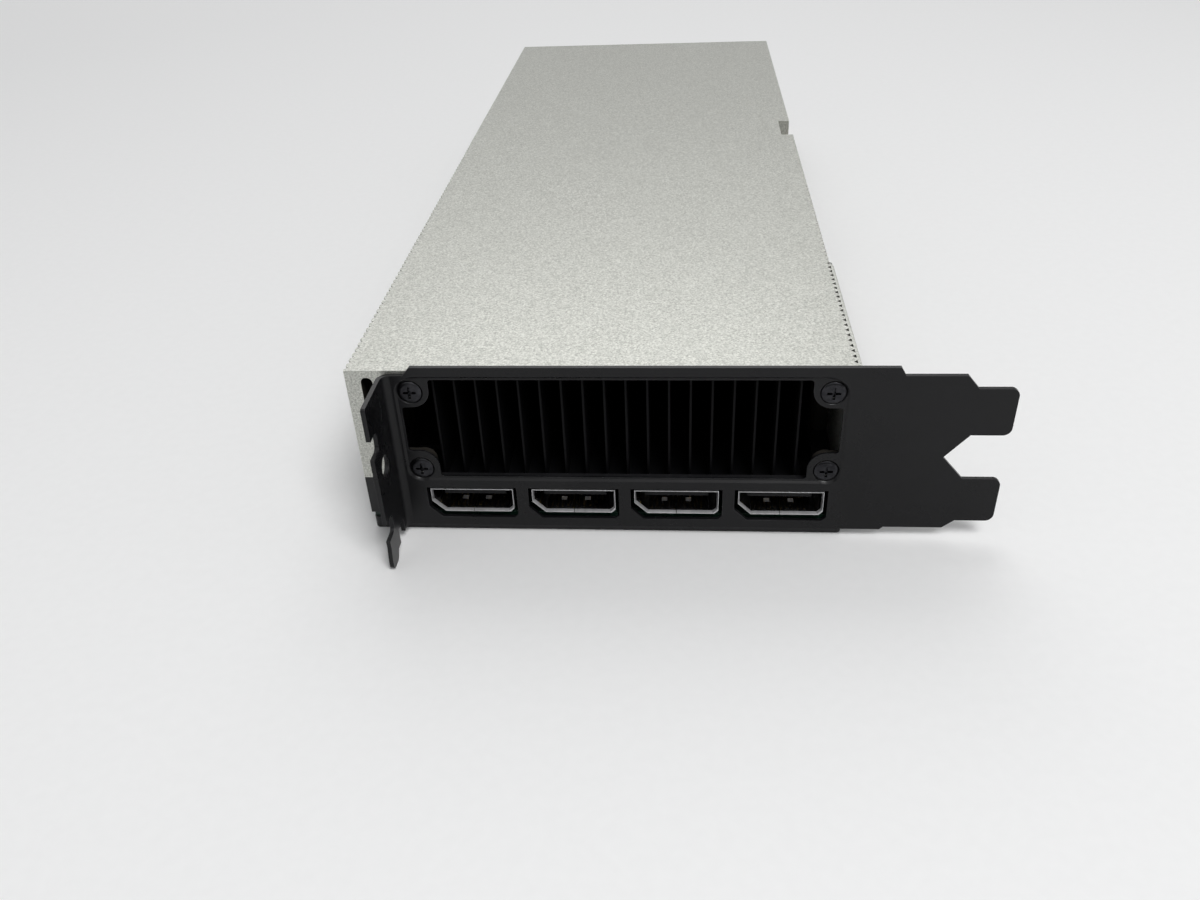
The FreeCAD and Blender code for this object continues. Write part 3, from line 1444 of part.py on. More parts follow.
# ---------------------------------------------------------------- far end
def makeFarEnd():
    plate = newBody("end_plate")
    subParts.append(plate)
    outline = sketchOn(plate, "end_outline", "XZ_Plane", "-back")
    rectangle(
        outline,
        ("left + shroudSide + clearance", "boardTop"),
        ("right - shroudSide - clearance", "roof - clearance"),
    )
    grow(plate, "end_sheet", outline, "endThick")
    windows = sketchOn(plate, "end_windows", "XZ_Plane", "-frameBack")
    rectangle(
        windows,
        ("middle - intakeWidth / 2", "intakeZ - intakeHeight / 2"),
        ("middle + intakeWidth / 2", "intakeZ + intakeHeight / 2"),
    )
    rectangle(
        windows,
        ("inletX - clearance", "boardTop - 1"),
        ("inletX + inletWidth + clearance", "inletTop + clearance"),
    )
    for side in ("-", "+"):
        for level in ("-", "+"):
            across = "middle %s extenderSpanX / 2" % side
            circle(windows, (across, "intakeZ %s extenderSpanZ / 2" % level), "extenderRadius")
    sink(plate, "end_openings", windows, "endThick")

    heads = sketchOn(plate, "end_heads", "XZ_Plane", "-back")
    for side in ("-", "+"):
        across = "middle + endScrewShift %s endScrewSpan / 2" % side
        circle(heads, (across, "tongueLow + endScrewUp"), "endHeadRadius + clearance / 2")
    sink(plate, "end_sinks", heads, "endHeadRadius - endScrewRadius", alongNormal=True, taper=-45)
    bores = sketchOn(plate, "end_bores", "XZ_Plane", "-frameBack")
    for side in ("-", "+"):
        across = "middle + endScrewShift %s endScrewSpan / 2" % side
        circle(bores, (across, "tongueLow + endScrewUp"), "endScrewRadius + clearance / 2")
    sink(plate, "end_holes", bores, "endThick")

    housing = newBody("power_inlet")
    subParts.append(housing)
    body = sketchOn(housing, "inlet_outline", "XY_Plane", "boardTop")
    rectangle(body, ("inletX", "back - inletDepth"), ("inletX + inletWidth", "back"))
    grow(housing, "inlet_block", body, "inletHeight")
    cells = sketchOn(housing, "inlet_cells", "XZ_Plane", "-back")
    pins = []
    for column in range(count("inletColumns")):
        for row in range(2):
            x = "inletX + inletWidth / 2 + (%d - (inletColumns - 1) / 2) * inletPitch" % column
            z = "boardTop + inletHeight / 2 + (%d - 0.5) * inletPitch" % row
            rectangle(
                cells,
                (x + " - inletCell / 2", z + " - inletCell / 2"),
                (x + " + inletCell / 2", z + " + inletCell / 2"),
            )
            pins.append(
                block(
                    "inlet_pin_%d" % (len(pins) + 1),
                    (x + " - inletPinWidth / 2", "back - inletCellDepth", z + " - inletPinWidth / 2"),
                    ("inletPinWidth", "inletPinLength", "inletPinWidth"),
                )
            )
    sink(housing, "inlet_sockets", cells, "inletCellDepth", alongNormal=True)
    subParts.append(separate("power_inlet_pins", pins))


makeShroud()
makeStrip()
makeBracket()
makeFrame()
makeBackplate()
makeBoard()
makeCooler()
makeFarEnd()
for number in range(count("portCount")):
    makePort(number)
makeSpring()
makeScrews()
makeBoardParts()
for number in range(count("portCount")):
    makePortContacts(number)
makeFingers()
doc.recompute()

for item in doc.Objects:
    if "Invalid" in item.State or "Error" in item.State:
        raise RuntimeError("failed: " + item.Label + " " + str(item.State))
for item in subParts:
    if item.Shape.isNull() or not item.Shape.isValid():
        raise RuntimeError("bad shape: " + item.Label)

os.makedirs("parts", exist_ok=True)
for item in subParts:
    item.Shape.exportStep("parts/" + item.Label + ".step")
    print(item.Label, len(item.Shape.Solids), round(item.Shape.Volume, 1))
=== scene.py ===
import math

import bmesh
import bpy
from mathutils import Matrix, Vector


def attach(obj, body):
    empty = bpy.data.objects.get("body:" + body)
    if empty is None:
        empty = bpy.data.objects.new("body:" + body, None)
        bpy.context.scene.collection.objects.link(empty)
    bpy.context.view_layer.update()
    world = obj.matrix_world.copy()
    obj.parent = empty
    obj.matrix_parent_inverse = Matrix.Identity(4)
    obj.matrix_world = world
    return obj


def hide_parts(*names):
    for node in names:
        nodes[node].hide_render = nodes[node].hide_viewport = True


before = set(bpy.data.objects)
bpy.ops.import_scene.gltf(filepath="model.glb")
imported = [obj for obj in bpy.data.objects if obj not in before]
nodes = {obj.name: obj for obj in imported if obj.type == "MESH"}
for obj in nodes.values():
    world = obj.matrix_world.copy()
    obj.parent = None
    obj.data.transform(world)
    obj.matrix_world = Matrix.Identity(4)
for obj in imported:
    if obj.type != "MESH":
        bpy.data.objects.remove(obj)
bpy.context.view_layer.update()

mm = 0.001


def newFinish(name):
    finish = bpy.data.materials.new(name)
    finish.use_nodes = True
    return finish, finish.node_tree, finish.node_tree.nodes["Principled BSDF"]


def addNode(tree, kind, settings=None, **sockets):
    node = tree.nodes.new("ShaderNode" + kind)
    for key, value in (settings or {}).items():
        setattr(node, key, value)
    for key, value in sockets.items():
        node.inputs[key].default_value = value
    return node


def objectSpace(tree, stretch=(1, 1, 1), turn=(0, 0, 0)):
    # object coordinates in metres, stretched for grain that runs one way
    coords = addNode(tree, "TexCoord")
    mapping = addNode(tree, "Mapping")
    mapping.inputs["Scale"].default_value = stretch
    mapping.inputs["Rotation"].default_value = turn
    tree.links.new(coords.outputs["Object"], mapping.inputs["Vector"])
    return mapping.outputs["Vector"]


def noise(tree, space, scale, detail=3.0, rough=0.55):
    node = addNode(tree, "TexNoise", Scale=scale, Detail=detail, Roughness=rough)
    tree.links.new(space, node.inputs["Vector"])
    return node.outputs["Fac"]


def cells(tree, space, scale):
    # distance to the nearest of many scattered points
    node = addNode(tree, "TexVoronoi", Scale=scale)
    tree.links.new(space, node.inputs["Vector"])
    return node.outputs["Distance"]


def ramp(tree, value, stops):
    node = addNode(tree, "ValToRGB")
    elements = node.color_ramp.elements
    while len(elements) < len(stops):
        elements.new(0.5)
    for element, (place, colour) in zip(elements, stops):
        element.position = place
        element.color = (*colour, 1)
    tree.links.new(value, node.inputs["Fac"])
    return node.outputs["Color"]


def between(tree, value, low, high, fromLow=0.3, fromHigh=0.7):
    node = addNode(tree, "MapRange")
    tree.links.new(value, node.inputs["Value"])
    node.inputs["From Min"].default_value = fromLow
    node.inputs["From Max"].default_value = fromHigh
    node.inputs["To Min"].default_value = low
    node.inputs["To Max"].default_value = high
    return node.outputs["Result"]


def times(tree, first, second):
    node = addNode(tree, "Math", {"operation": "MULTIPLY"})
    tree.links.new(first, node.inputs[0])
    if isinstance(second, float):
        node.inputs[1].default_value = second
    else:
        tree.links.new(second, node.inputs[1])
    return node.outputs[0]


def plus(tree, first, second):
    node = addNode(tree, "Math", {"operation": "ADD"})
    tree.links.new(first, node.inputs[0])
    tree.links.new(second, node.inputs[1])
    return node.outputs[0]


def blendColour(tree, amount, first, second):
    # mixes two colours; each may be a socket or a plain colour
    node = addNode(tree, "Mix", {"data_type": "RGBA"})
    for socket, value in ((node.inputs[6], first), (node.inputs[7], second)):
        if isinstance(value, tuple):
            socket.default_value = (*value, 1)
        else:
            tree.links.new(value, socket)
    if isinstance(amount, float):
        node.inputs[0].default_value = amount
    else:
        tree.links.new(amount, node.inputs[0])
    return node.outputs[2]


def wornEdges(tree, radius, low=0.02, high=0.25):
    # 1 on worn edges, 0 on flats: where the rounded normal leaves the true one
    bevel = addNode(tree, "Bevel", {"samples": 6}, Radius=radius)
    truth = addNode(tree, "NewGeometry")
    dot = addNode(tree, "VectorMath", {"operation": "DOT_PRODUCT"})
    tree.links.new(bevel.outputs["Normal"], dot.inputs[0])
    tree.links.new(truth.outputs["Normal"], dot.inputs[1])
    return between(tree, dot.outputs["Value"], 1.0, 0.0, 1 - high, 1 - low)


def raiseBy(tree, shader, heights, strength, distance):
    # adds up (socket, weight) pairs into one height for the bump
    total = None
    for socket, weight in heights:
        scaled = times(tree, socket, weight)
        total = scaled if total is None else plus(tree, total, scaled)
    node = addNode(tree, "Bump", Strength=strength, Distance=distance)
    tree.links.new(total, node.inputs["Height"])
    tree.links.new(node.outputs["Normal"], shader.inputs["Normal"])


def shade(colour, amount):
    return tuple(min(1.0, value * amount) for value in colour)


blastTexture = {
    "detail": 5.0,
    "breakup": 0.72,
    "stops": (0.36, 0.50, 0.64),
    "pitsPerGrain": 1.5,
    "pitShade": 0.85,
    "handledScale": 9.0,
    "handledMix": 0.10,
    "handledShade": 0.8,
    "edge": 0.3 * mm,
    "edgeShade": 1.3,
    "pitWeight": 0.5,
    "bumpDepth": 0.06 * mm,
}


def blastedMetal(name, look):
    # blasted and clear-anodised casting: fine bright and dark grains, pits, rubbed edges
    finish, tree, shader = newFinish(name)
    texture = blastTexture
    dark, light = look["dark"], look["light"]
    middle = tuple((a + b) / 2 for a, b in zip(dark, light))
    space = objectSpace(tree)
    grain = noise(tree, space, look["grain"], texture["detail"], texture["breakup"])
    pits = cells(tree, space, look["grain"] * texture["pitsPerGrain"])
    tone = ramp(tree, grain, tuple(zip(texture["stops"], (dark, middle, light))))
    deep = between(tree, pits, 0.5, 0.0, 0.05, 0.35)
    tone = blendColour(tree, deep, tone, shade(dark, texture["pitShade"]))
    handled = noise(tree, space, texture["handledScale"], 2.0)
    handled = between(tree, handled, 0.0, texture["handledMix"])
    tone = blendColour(tree, handled, tone, shade(middle, texture["handledShade"]))
    brightened = times(tree, wornEdges(tree, texture["edge"]), look["rub"])
    tone = blendColour(tree, brightened, tone, shade(light, texture["edgeShade"]))
    tree.links.new(tone, shader.inputs["Base Color"])
    shader.inputs["Metallic"].default_value = look["metallic"]
    tree.links.new(between(tree, grain, *look["rough"]), shader.inputs["Roughness"])
    heights = ((grain, 1.0), (pits, texture["pitWeight"]))
    raiseBy(tree, shader, heights, look["bump"], texture["bumpDepth"])
    return finish


coatTexture = {
    "broadScale": 60.0,
    "broadShade": 1.5,
    "scuffScale": 120.0,
    "scuffStretch": (1, 14, 3),
    "scuffTurn": (0.2, 0.5, 0.9),
    "scuffMix": 0.3,
    "scuffShade": 2.6,
    "edge": 0.2 * mm,
    "broadWeight": 0.3,
    "bump": 0.2,
    "bumpDepth": 0.03 * mm,
}


def blackCoat(name, look):
    # thin black coat on sheet metal: orange-peel texture, faint scuffs, bare metal at worn edges
    finish, tree, shader = newFinish(name)
    texture = coatTexture
    space = objectSpace(tree)
    fine = noise(tree, space, look["grain"], 3.0)
    broad = noise(tree, space, texture["broadScale"], 4.0, 0.65)
    scuffSpace = objectSpace(tree, texture["scuffStretch"], texture["scuffTurn"])
    scuffs = noise(tree, scuffSpace, texture["scuffScale"], 4.0, 0.7)
    body = look["colour"]
    coat = ramp(tree, broad, ((0.3, body), (0.75, shade(body, texture["broadShade"]))))
    brightened = ramp(tree, scuffs, ((0.66, (0, 0, 0)), (0.80, (texture["scuffMix"],) * 3)))
    coat = blendColour(tree, brightened, coat, shade(body, texture["scuffShade"]))
    edges = wornEdges(tree, texture["edge"], 0.03, 0.3)
    worn = times(tree, edges, between(tree, broad, 0.1, 1.0, 0.4, 0.62))
    tone = blendColour(tree, times(tree, worn, look["wear"]), coat, look["bare"])
    tree.links.new(tone, shader.inputs["Base Color"])
    tree.links.new(between(tree, broad, *look["rough"]), shader.inputs["Roughness"])
    shader.inputs["Specular IOR Level"].default_value = look["gloss"]
    heights = ((fine, 1.0), (broad, texture["broadWeight"]))
    raiseBy(tree, shader, heights, texture["bump"], texture["bumpDepth"])
    return finish


drawnTexture = {
    "lineScale": 900.0,
    "run": (1, 0.06, 1),  # squeezes the noise into lines along Y
    "stainScale": 160.0,
    "stainMix": 0.3,
    "edge": 0.12 * mm,
    "edgeShade": 1.25,
    "bump": 0.2,
    "bumpDepth": 0.03 * mm,
}


def drawnMetal(name, look):
    # plated or rolled metal with faint lines along one way
    finish, tree, shader = newFinish(name)
    texture = drawnTexture
    dark, light = look["dark"], look["light"]
    lineSpace = objectSpace(tree, look.get("run", texture["run"]))
    lines = noise(tree, lineSpace, texture["lineScale"], 4.0, 0.6)
    stain = noise(tree, objectSpace(tree), texture["stainScale"], 3.0)
    tone = ramp(tree, lines, ((0.3, dark), (0.7, light)))
    stained = ramp(tree, stain, ((0.35, dark), (0.65, light)))
    tone = blendColour(tree, texture["stainMix"], tone, stained)
    edges = wornEdges(tree, texture["edge"])
    tone = blendColour(tree, edges, tone, shade(light, texture["edgeShade"]))
    tree.links.new(tone, shader.inputs["Base Color"])
    shader.inputs["Metallic"].default_value = look.get("metallic", 1.0)
    tree.links.new(between(tree, stain, *look["rough"]), shader.inputs["Roughness"])
    raiseBy(tree, shader, ((lines, 1.0),), texture["bump"], texture["bumpDepth"])
    return finish


mouldTexture = {
    "fineScale": 2200.0,
    "flowScale": 90.0,
    "flowShades": (0.85, 1.2),
    "edge": 0.2 * mm,
    "flowWeight": 0.2,
    "bump": 0.25,
    "bumpDepth": 0.05 * mm,
}


def mouldedPlastic(name, look):
    # fine moulded texture with faint flow marks
    finish, tree, shader = newFinish(name)
    texture = mouldTexture
    base = look["colour"]
    space = objectSpace(tree)
    fine = noise(tree, space, texture["fineScale"], 2.0)
    flow = noise(tree, space, texture["flowScale"], 3.0)
    tones = [shade(base, amount) for amount in texture["flowShades"]]
    tone = ramp(tree, flow, tuple(zip((0.3, 0.7), tones)))
    lighter = tuple(value * 1.9 + 0.01 for value in base)
    tone = blendColour(tree, wornEdges(tree, texture["edge"], 0.03, 0.35), tone, lighter)
    tree.links.new(tone, shader.inputs["Base Color"])
    tree.links.new(between(tree, flow, *look["rough"]), shader.inputs["Roughness"])
    shader.inputs["Specular IOR Level"].default_value = look.get("gloss", 0.45)
    heights = ((fine, 1.0), (flow, texture["flowWeight"]))
    raiseBy(tree, shader, heights, texture["bump"], texture["bumpDepth"])
    return finish


laminateTexture = {
    "tracks": {"Scale": 240.0, "Mortar Size": 0.12, "Brick Width": 1.6, "Row Height": 0.22},
    "weaveScale": 700.0,
    "flowScale": 30.0,
    "rough": (0.25, 0.38),
    "bump": 0.3,
    "bumpDepth": 0.05 * mm,
}


def maskedLaminate(name, look):
    # solder mask over copper tracks: faint raised runs under a glossy skin
    finish, tree, shader = newFinish(name)
    texture = laminateTexture
    space = objectSpace(tree)
    tracks = addNode(tree, "TexBrick", {"offset": 0.35, "squash": 1.0}, **texture["tracks"])
    tree.links.new(space, tracks.inputs["Vector"])
    weave = noise(tree, space, texture["weaveScale"], 2.0)
    flow = noise(tree, space, texture["flowScale"], 3.0)
    fill = between(tree, tracks.outputs["Fac"], 0.0, 1.0, 0.0, 1.0)
    tone = blendColour(tree, fill, look["track"], look["mask"])
    tone = blendColour(tree, between(tree, flow, 0.0, 0.5), tone, shade(look["mask"], 0.6))
    tree.links.new(tone, shader.inputs["Base Color"])
    tree.links.new(between(tree, weave, *texture["rough"]), shader.inputs["Roughness"])
    heights = ((tracks.outputs["Fac"], -0.5), (weave, 0.15))
    raiseBy(tree, shader, heights, texture["bump"], texture["bumpDepth"])
    return finish


rounding = {
    "weld": 0.004 * mm,
    "joinBelow": 0.8,  # degrees between faces that count as one flat
    "fromAngle": 38,  # degrees from which an edge is rounded
    "steps": 2,
    "smooth": 35,  # degrees up to which shading runs across an edge
}


def newPiece(name, bm, finish, smoothAngle=rounding["smooth"]):
    mesh = bpy.data.meshes.new(name)
    bm.to_mesh(mesh)
    bm.free()
    mesh.shade_smooth()
    mesh.set_sharp_from_angle(angle=math.radians(smoothAngle))
    mesh.materials.append(finish)
    piece = bpy.data.objects.new(name, mesh)
    bpy.context.scene.collection.objects.link(piece)
    return piece


def evenShading(piece):
    # keeps broad flats flat beside their rounded edges
    even = piece.modifiers.new("evenShading", "WEIGHTED_NORMAL")
    even.mode = "FACE_AREA_WITH_ANGLE"
    even.keep_sharp = True
    even.weight = 50


def roundedCopy(nodeName, look):
    # a copy of a CAD solid with its doubles merged, flats joined and sharp edges rounded
    bm = bmesh.new()
    bm.from_mesh(nodes[nodeName].data)
    bmesh.ops.remove_doubles(bm, verts=bm.verts, dist=rounding["weld"])
    bmesh.ops.dissolve_limit(
        bm, angle_limit=math.radians(rounding["joinBelow"]), verts=bm.verts, edges=bm.edges,
        delimit=set(),
    )
    if "flareDeep" in look:
        flareLips(bm, look)
        bmesh.ops.connect_verts_concave(bm, faces=bm.faces[:])
    least = math.radians(look.get("fromAngle", rounding["fromAngle"]))
    edges = [e for e in bm.edges if len(e.link_faces) == 2 and e.calc_face_angle(0) > least]
    bmesh.ops.bevel(
        bm, geom=edges, offset=look["round"], offset_type="OFFSET",
        segments=look.get("steps", rounding["steps"]), profile=0.5, affect="EDGES",
        clamp_overlap=True, material=-1,
    )
    return bm


def finishNode(nodeName, finish, look):
    # the CAD solid's rounded copy takes its place
    piece = newPiece(nodeName + "_finished", roundedCopy(nodeName, look), finish)
    evenShading(piece)
    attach(piece, "root")
    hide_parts(nodeName)
    print("finished", nodeName, len(piece.data.polygons))
    return piece


def coverNode(nodeName, finish):
    # the CAD solid stays and gets the finish
    nodes[nodeName].data.materials.clear()
    nodes[nodeName].data.materials.append(finish)


def extent(piece):
    # the lowest and the highest corner of a piece's own mesh
    corners = [v.co for v in piece.data.vertices]
    return [tuple(pick(c[axis] for c in corners) for axis in range(3)) for pick in (min, max)]


def paintShadeInside(piece, finish, look):
    # painted shade: faces inside the shell get a near-black finish of their own that stands in for
    # the shade there, but not those of the notch in its right side
    piece.data.materials.append(finish)
    low, high = extent(piece)
    for face in piece.data.polygons:
        x, y, z = face.center
        deep = min(x - low[0], high[0] - x, high[2] - z, y - low[1], high[1] - y)
        beside = high[0] - x < look["notchRoom"] and y - low[1] > look["frontRoom"]
        if deep > look["skin"] and not beside:
            face.material_index = 1


shroudLook = {
    "dark": (0.28, 0.285, 0.26),
    "light": (0.67, 0.675, 0.63),
    "grain": 2600.0,
    "rub": 0.35,
    "metallic": 0.85,
    "rough": (0.30, 0.42),
    "bump": 0.5,
    "round": 0.08 * mm,
    # painted shade: a near-black coat for the shell's inner faces, standing in for the shade inside
    # the shell
    "inside": {
        "colour": (0.020, 0.018, 0.015),
        "bare": (0.10, 0.10, 0.10),
        "wear": 0.2,
        "gloss": 0.2,
        "grain": 1800.0,
        "rough": (0.5, 0.6),
        "skin": 0.9 * mm,
        "notchRoom": 3.8 * mm,
        "frontRoom": 20 * mm,
    },
}


def makeShroud():
    piece = finishNode("shroud", blastedMetal("blastedShroud", shroudLook), shroudLook)
    inside = shroudLook["inside"]
    # painted shade: the inner faces of the shell take the near-black coat
    paintShadeInside(piece, blackCoat("paintedShadeInside", inside), inside)


stripLook = {
    "dark": (0.32, 0.325, 0.30),
    "light": (0.58, 0.585, 0.55),
    "grain": 2600.0,
    "rub": 0.25,
    "metallic": 0.85,
    "rough": (0.30, 0.42),
    "bump": 0.4,
    "round": 0.05 * mm,
}


def makeStrip():
    finishNode("side_strip", blastedMetal("blastedStrip", stripLook), stripLook)


bracketLook = {
    "colour": (0.0055, 0.0055, 0.0062),
    "bare": (0.16, 0.16, 0.17),
    "wear": 0.5,
    "gloss": 0.24,
    "grain": 1800.0,
    "rough": (0.24, 0.34),
    "round": 0.10 * mm,
    "fromAngle": 17,
}


def makeBracket():
    finishNode("bracket", blackCoat("blackBracket", bracketLook), bracketLook)


screwLook = {
    "dark": (0.016, 0.016, 0.018),
    "light": (0.048, 0.048, 0.053),
    "rough": (0.24, 0.36),
    "metallic": 0.95,
    "round": 0.07 * mm,
    "fromAngle": 30,
}


def makeScrews():
    finish = drawnMetal("blackScrew", screwLook)
    for nodeName in ("bracket_screws", "backplate_screws", "end_plate_screws", "spring_screws"):
        finishNode(nodeName, finish, screwLook)


portLook = {
    "shell": {
        "dark": (0.36, 0.36, 0.37),
        "light": (0.52, 0.52, 0.53),
        "rough": (0.14, 0.22),
        "metallic": 1.0,
        "round": 0.02 * mm,
        "flareDeep": 0.75 * mm,
        "flareWide": 0.23 * mm,
    },
    # painted highlight: the mouth and the spring bumps get a lighter, more matt finish that stands
    # in for the light falling on them
    "brightened": {
        "dark": (0.42, 0.42, 0.43),
        "light": (0.58, 0.58, 0.59),
        "rough": (0.34, 0.46),
        "metallic": 0.6,
        "wall": 0.5 * mm,
        "bumpFrom": 2.0 * mm,
        "bumpTo": 6.0 * mm,
        "bumpRise": 0.9 * mm,
        "inset": 2.0 * mm,
    },
    "core": {
        "colour": (0.006, 0.006, 0.007), "rough": (0.45, 0.6), "gloss": 0.25, "round": 0.12 * mm,
    },
    "contacts": {"dark": (0.72, 0.50, 0.18), "light": (0.90, 0.69, 0.32), "rough": (0.22, 0.34)},
}


flaring = {
    "cutWeld": 1e-7,
    "edgeRoom": 0.02 * mm,  # how near a vertex lies to count as on the front or the floor
    "ringInside": 0.1 * mm,  # the inner ring lies deeper than this, the outer one does not
    "cornerRoom": 0.75 * mm,  # a vertex this near a wall follows it
}


def flareLips(bm, look):
    # opens the shell's mouth: its inner edge is drawn outwards
    front = min(v.co.y for v in bm.verts)
    bmesh.ops.bisect_plane(
        bm, geom=bm.verts[:] + bm.edges[:] + bm.faces[:], dist=flaring["cutWeld"],
        plane_co=(0, front + look["flareDeep"], 0), plane_no=(0, 1, 0),
    )
    mouth = [v for v in bm.verts if v.co.y < front + flaring["edgeRoom"]]
    west, east = min(v.co.x for v in mouth), max(v.co.x for v in mouth)
    low, high = min(v.co.z for v in mouth), max(v.co.z for v in mouth)
    corner = min(v.co.x for v in mouth if v.co.z < low + flaring["edgeRoom"]) - west
    slant = math.sqrt(0.5)
    walls = (
        (Vector((west, 0, low)), Vector((-1, 0, 0))),
        (Vector((east, 0, low)), Vector((1, 0, 0))),
        (Vector((west, 0, low)), Vector((0, 0, -1))),
        (Vector((west, 0, high)), Vector((0, 0, 1))),
        (Vector((west + corner, 0, low)), Vector((-slant, 0, -slant))),
    )
    for vert in mouth:
        depths = [(foot - vert.co).dot(outward) for foot, outward in walls]
        if min(depths) > flaring["ringInside"]:
            shift = Vector()
            for depth, (foot, outward) in zip(depths, walls):
                if depth < flaring["cornerRoom"]:
                    shift += outward * max(0.0, look["flareWide"] - shift.dot(outward))
            vert.co += shift


def paintMouthHighlight(piece, finish, look, deep):
    # painted highlight: the mouth all round and the bumps on the floor take the lighter finish,
    # standing in for the light that falls on them
    piece.data.materials.append(finish)
    (west, front, low), (east, _, _) = extent(piece)
    for face in piece.data.polygons:
        x, y, z = face.center
        bump = (
            look["bumpFrom"] < y - front < look["bumpTo"]
            and look["wall"] < z - low < look["wall"] + look["bumpRise"]
            and min(x - west, east - x) > look["inset"]
        )
        if bump or y < front + deep:
            face.material_index = 1


def makePorts():
    shellFinish = drawnMetal("portNickel", portLook["shell"])
    # painted highlight: a lighter finish for each shell's mouth and floor bumps
    mouthHighlightFinish = drawnMetal("portPaintedHighlight", portLook["brightened"])
    coreFinish = mouldedPlastic("portPlastic", portLook["core"])
    contactFinish = drawnMetal("portContacts", portLook["contacts"])
    number = 1
    while "video_port_%d_shell" % number in nodes:
        shell = finishNode("video_port_%d_shell" % number, shellFinish, portLook["shell"])
        paintMouthHighlight(shell, mouthHighlightFinish, portLook["brightened"], portLook["shell"]["flareDeep"])
        finishNode("video_port_%d_core" % number, coreFinish, portLook["core"])
        coverNode("video_port_%d_contacts" % number, contactFinish)
        number += 1


frameLook = {
    "colour": (0.010, 0.010, 0.011),
    "bare": (0.16, 0.16, 0.17),
    "wear": 0.3,
    "gloss": 0.35,
    "grain": 1800.0,
    "rough": (0.36, 0.48),
    "round": 0.2 * mm,
}


def makeFrame():
    finish = blackCoat("blackFrame", frameLook)
    finishNode("middle_frame", finish, frameLook)
    finishNode("end_plate", finish, frameLook)


backplateLook = {
    "colour": (0.012, 0.012, 0.013),
    "bare": (0.18, 0.18, 0.19),
    "wear": 0.4,
    "gloss": 0.35,
    "grain": 1500.0,
    "rough": (0.40, 0.54),
    "round": 0.3 * mm,
}


def makeBackplate():
    finishNode("backplate", blackCoat("blackBackplate", backplateLook), backplateLook)


coolerLook = {
    "fins": {
        "colour": (0.0022, 0.0022, 0.0026),
        "bare": (0.05, 0.05, 0.055),
        "wear": 0.2,
        "gloss": 0.10,
        "grain": 1800.0,
        "rough": (0.42, 0.58),
        "round": 0.08 * mm,
        "steps": 1,
    },
    "chamber": {
        "dark": (0.50, 0.26, 0.16),
        "light": (0.74, 0.43, 0.30),
        "rough": (0.28, 0.42),
        "round": 0.2 * mm,
    },
}


def makeCooler():
    fins, chamber = coolerLook["fins"], coolerLook["chamber"]
    finishNode("fin_stack", blackCoat("blackFins", fins), fins)
    finishNode("vapour_chamber", drawnMetal("chamberCopper", chamber), chamber)


springLook = {
    "dark": (0.40, 0.40, 0.41),
    "light": (0.60, 0.60, 0.61),
    "rough": (0.24, 0.36),
    "round": 0.15 * mm,
}


def makeSpring():
    finishNode("retention_spring", drawnMetal("springSteel", springLook), springLook)


boardLook = {
    "board": {
        "mask": (0.008, 0.028, 0.018),
        "track": (0.014, 0.050, 0.030),
        "round": 0.08 * mm,
        "steps": 1,
    },
    "package": {
        "mask": (0.012, 0.05, 0.025),
        "track": (0.02, 0.075, 0.04),
        "round": 0.15 * mm,
        "steps": 1,
    },
    "fingers": {
        "dark": (0.72, 0.50, 0.18),
        "light": (0.90, 0.69, 0.32),
        "rough": (0.22, 0.34),
        "run": (0.08, 1, 1),
    },
    "die": {"colour": (0.10, 0.10, 0.12), "rough": (0.08, 0.14), "gloss": 0.8},
    "chips": {"colour": (0.018, 0.018, 0.020), "rough": (0.42, 0.58)},
    "pads": {"colour": (0.42, 0.43, 0.47), "rough": (0.7, 0.85)},
    "coils": {"colour": (0.055, 0.055, 0.058), "rough": (0.6, 0.75)},
    "cans": {
        "dark": (0.62, 0.62, 0.63),
        "light": (0.80, 0.80, 0.81),
        "rough": (0.22, 0.36),
        "run": (1, 1, 0.05),
    },
}


def makeBoard():
    board, package = boardLook["board"], boardLook["package"]
    finishNode("circuit_board", maskedLaminate("maskedBoard", board), board)
    finishNode("gpu_package", maskedLaminate("packageLaminate", package), package)
    coverNode("edge_contacts", drawnMetal("goldPlate", boardLook["fingers"]))
    coverNode("gpu_die", mouldedPlastic("polishedDie", boardLook["die"]))
    chipFinish = mouldedPlastic("mouldedChip", boardLook["chips"])
    for nodeName in ("memory_chips", "power_stages", "controller_chips"):
        coverNode(nodeName, chipFinish)
    padFinish = mouldedPlastic("softPad", boardLook["pads"])
    for nodeName in ("memory_thermal_pads", "power_stage_thermal_pads"):
        coverNode(nodeName, padFinish)
    coverNode("inductors", mouldedPlastic("pressedCoil", boardLook["coils"]))
    coverNode("capacitors", drawnMetal("canAluminium", boardLook["cans"]))


inletLook = {
    "housing": {"colour": (0.012, 0.012, 0.013), "rough": (0.36, 0.5), "round": 0.18 * mm},
    "pins": {"dark": (0.58, 0.57, 0.54), "light": (0.76, 0.75, 0.72), "rough": (0.22, 0.36)},
}


def makeInlet():
    housing = inletLook["housing"]
    finishNode("power_inlet", mouldedPlastic("inletPlastic", housing), housing)
    coverNode("power_inlet_pins", drawnMetal("tinPlate", inletLook["pins"]))


makeShroud()
makeStrip()
makeBracket()
makeScrews()
makePorts()
makeFrame()
makeBackplate()
makeCooler()
makeSpring()
makeBoard()
makeInlet()
print("pieces made")

studio = {
    "floorColour": (0.90, 0.90, 0.90),
    "floorBounce": (0.40, 0.40, 0.40),  # what the floor gives back to matt surfaces
    "floorFar": (0.80, 0.80, 0.80),
    "floorFades": (0.5, 1.8),  # metres from the middle
    "floorReach": 6.0,
    "floorDrop": 0.05 * mm,
    "worldLight": 0.34,
    # brightness of the backdrop by the sine of the height angle
    "backdrop": ((0.0, 0.80), (0.135, 0.80), (0.18, 0.06), (0.34, 0.10), (0.58, 1.1), (1.0, 1.0)),
    "lamps": {
        # name: place, side of the square, watts
        "backSoftbox": ((-0.10, 0.90, 1.05), 1.0, 4.4),
        "keySoftbox": ((0.36, -0.68, 1.05), 0.5, 9.0),
    },
    "aim": (0.0, -0.02, 0.02),
}


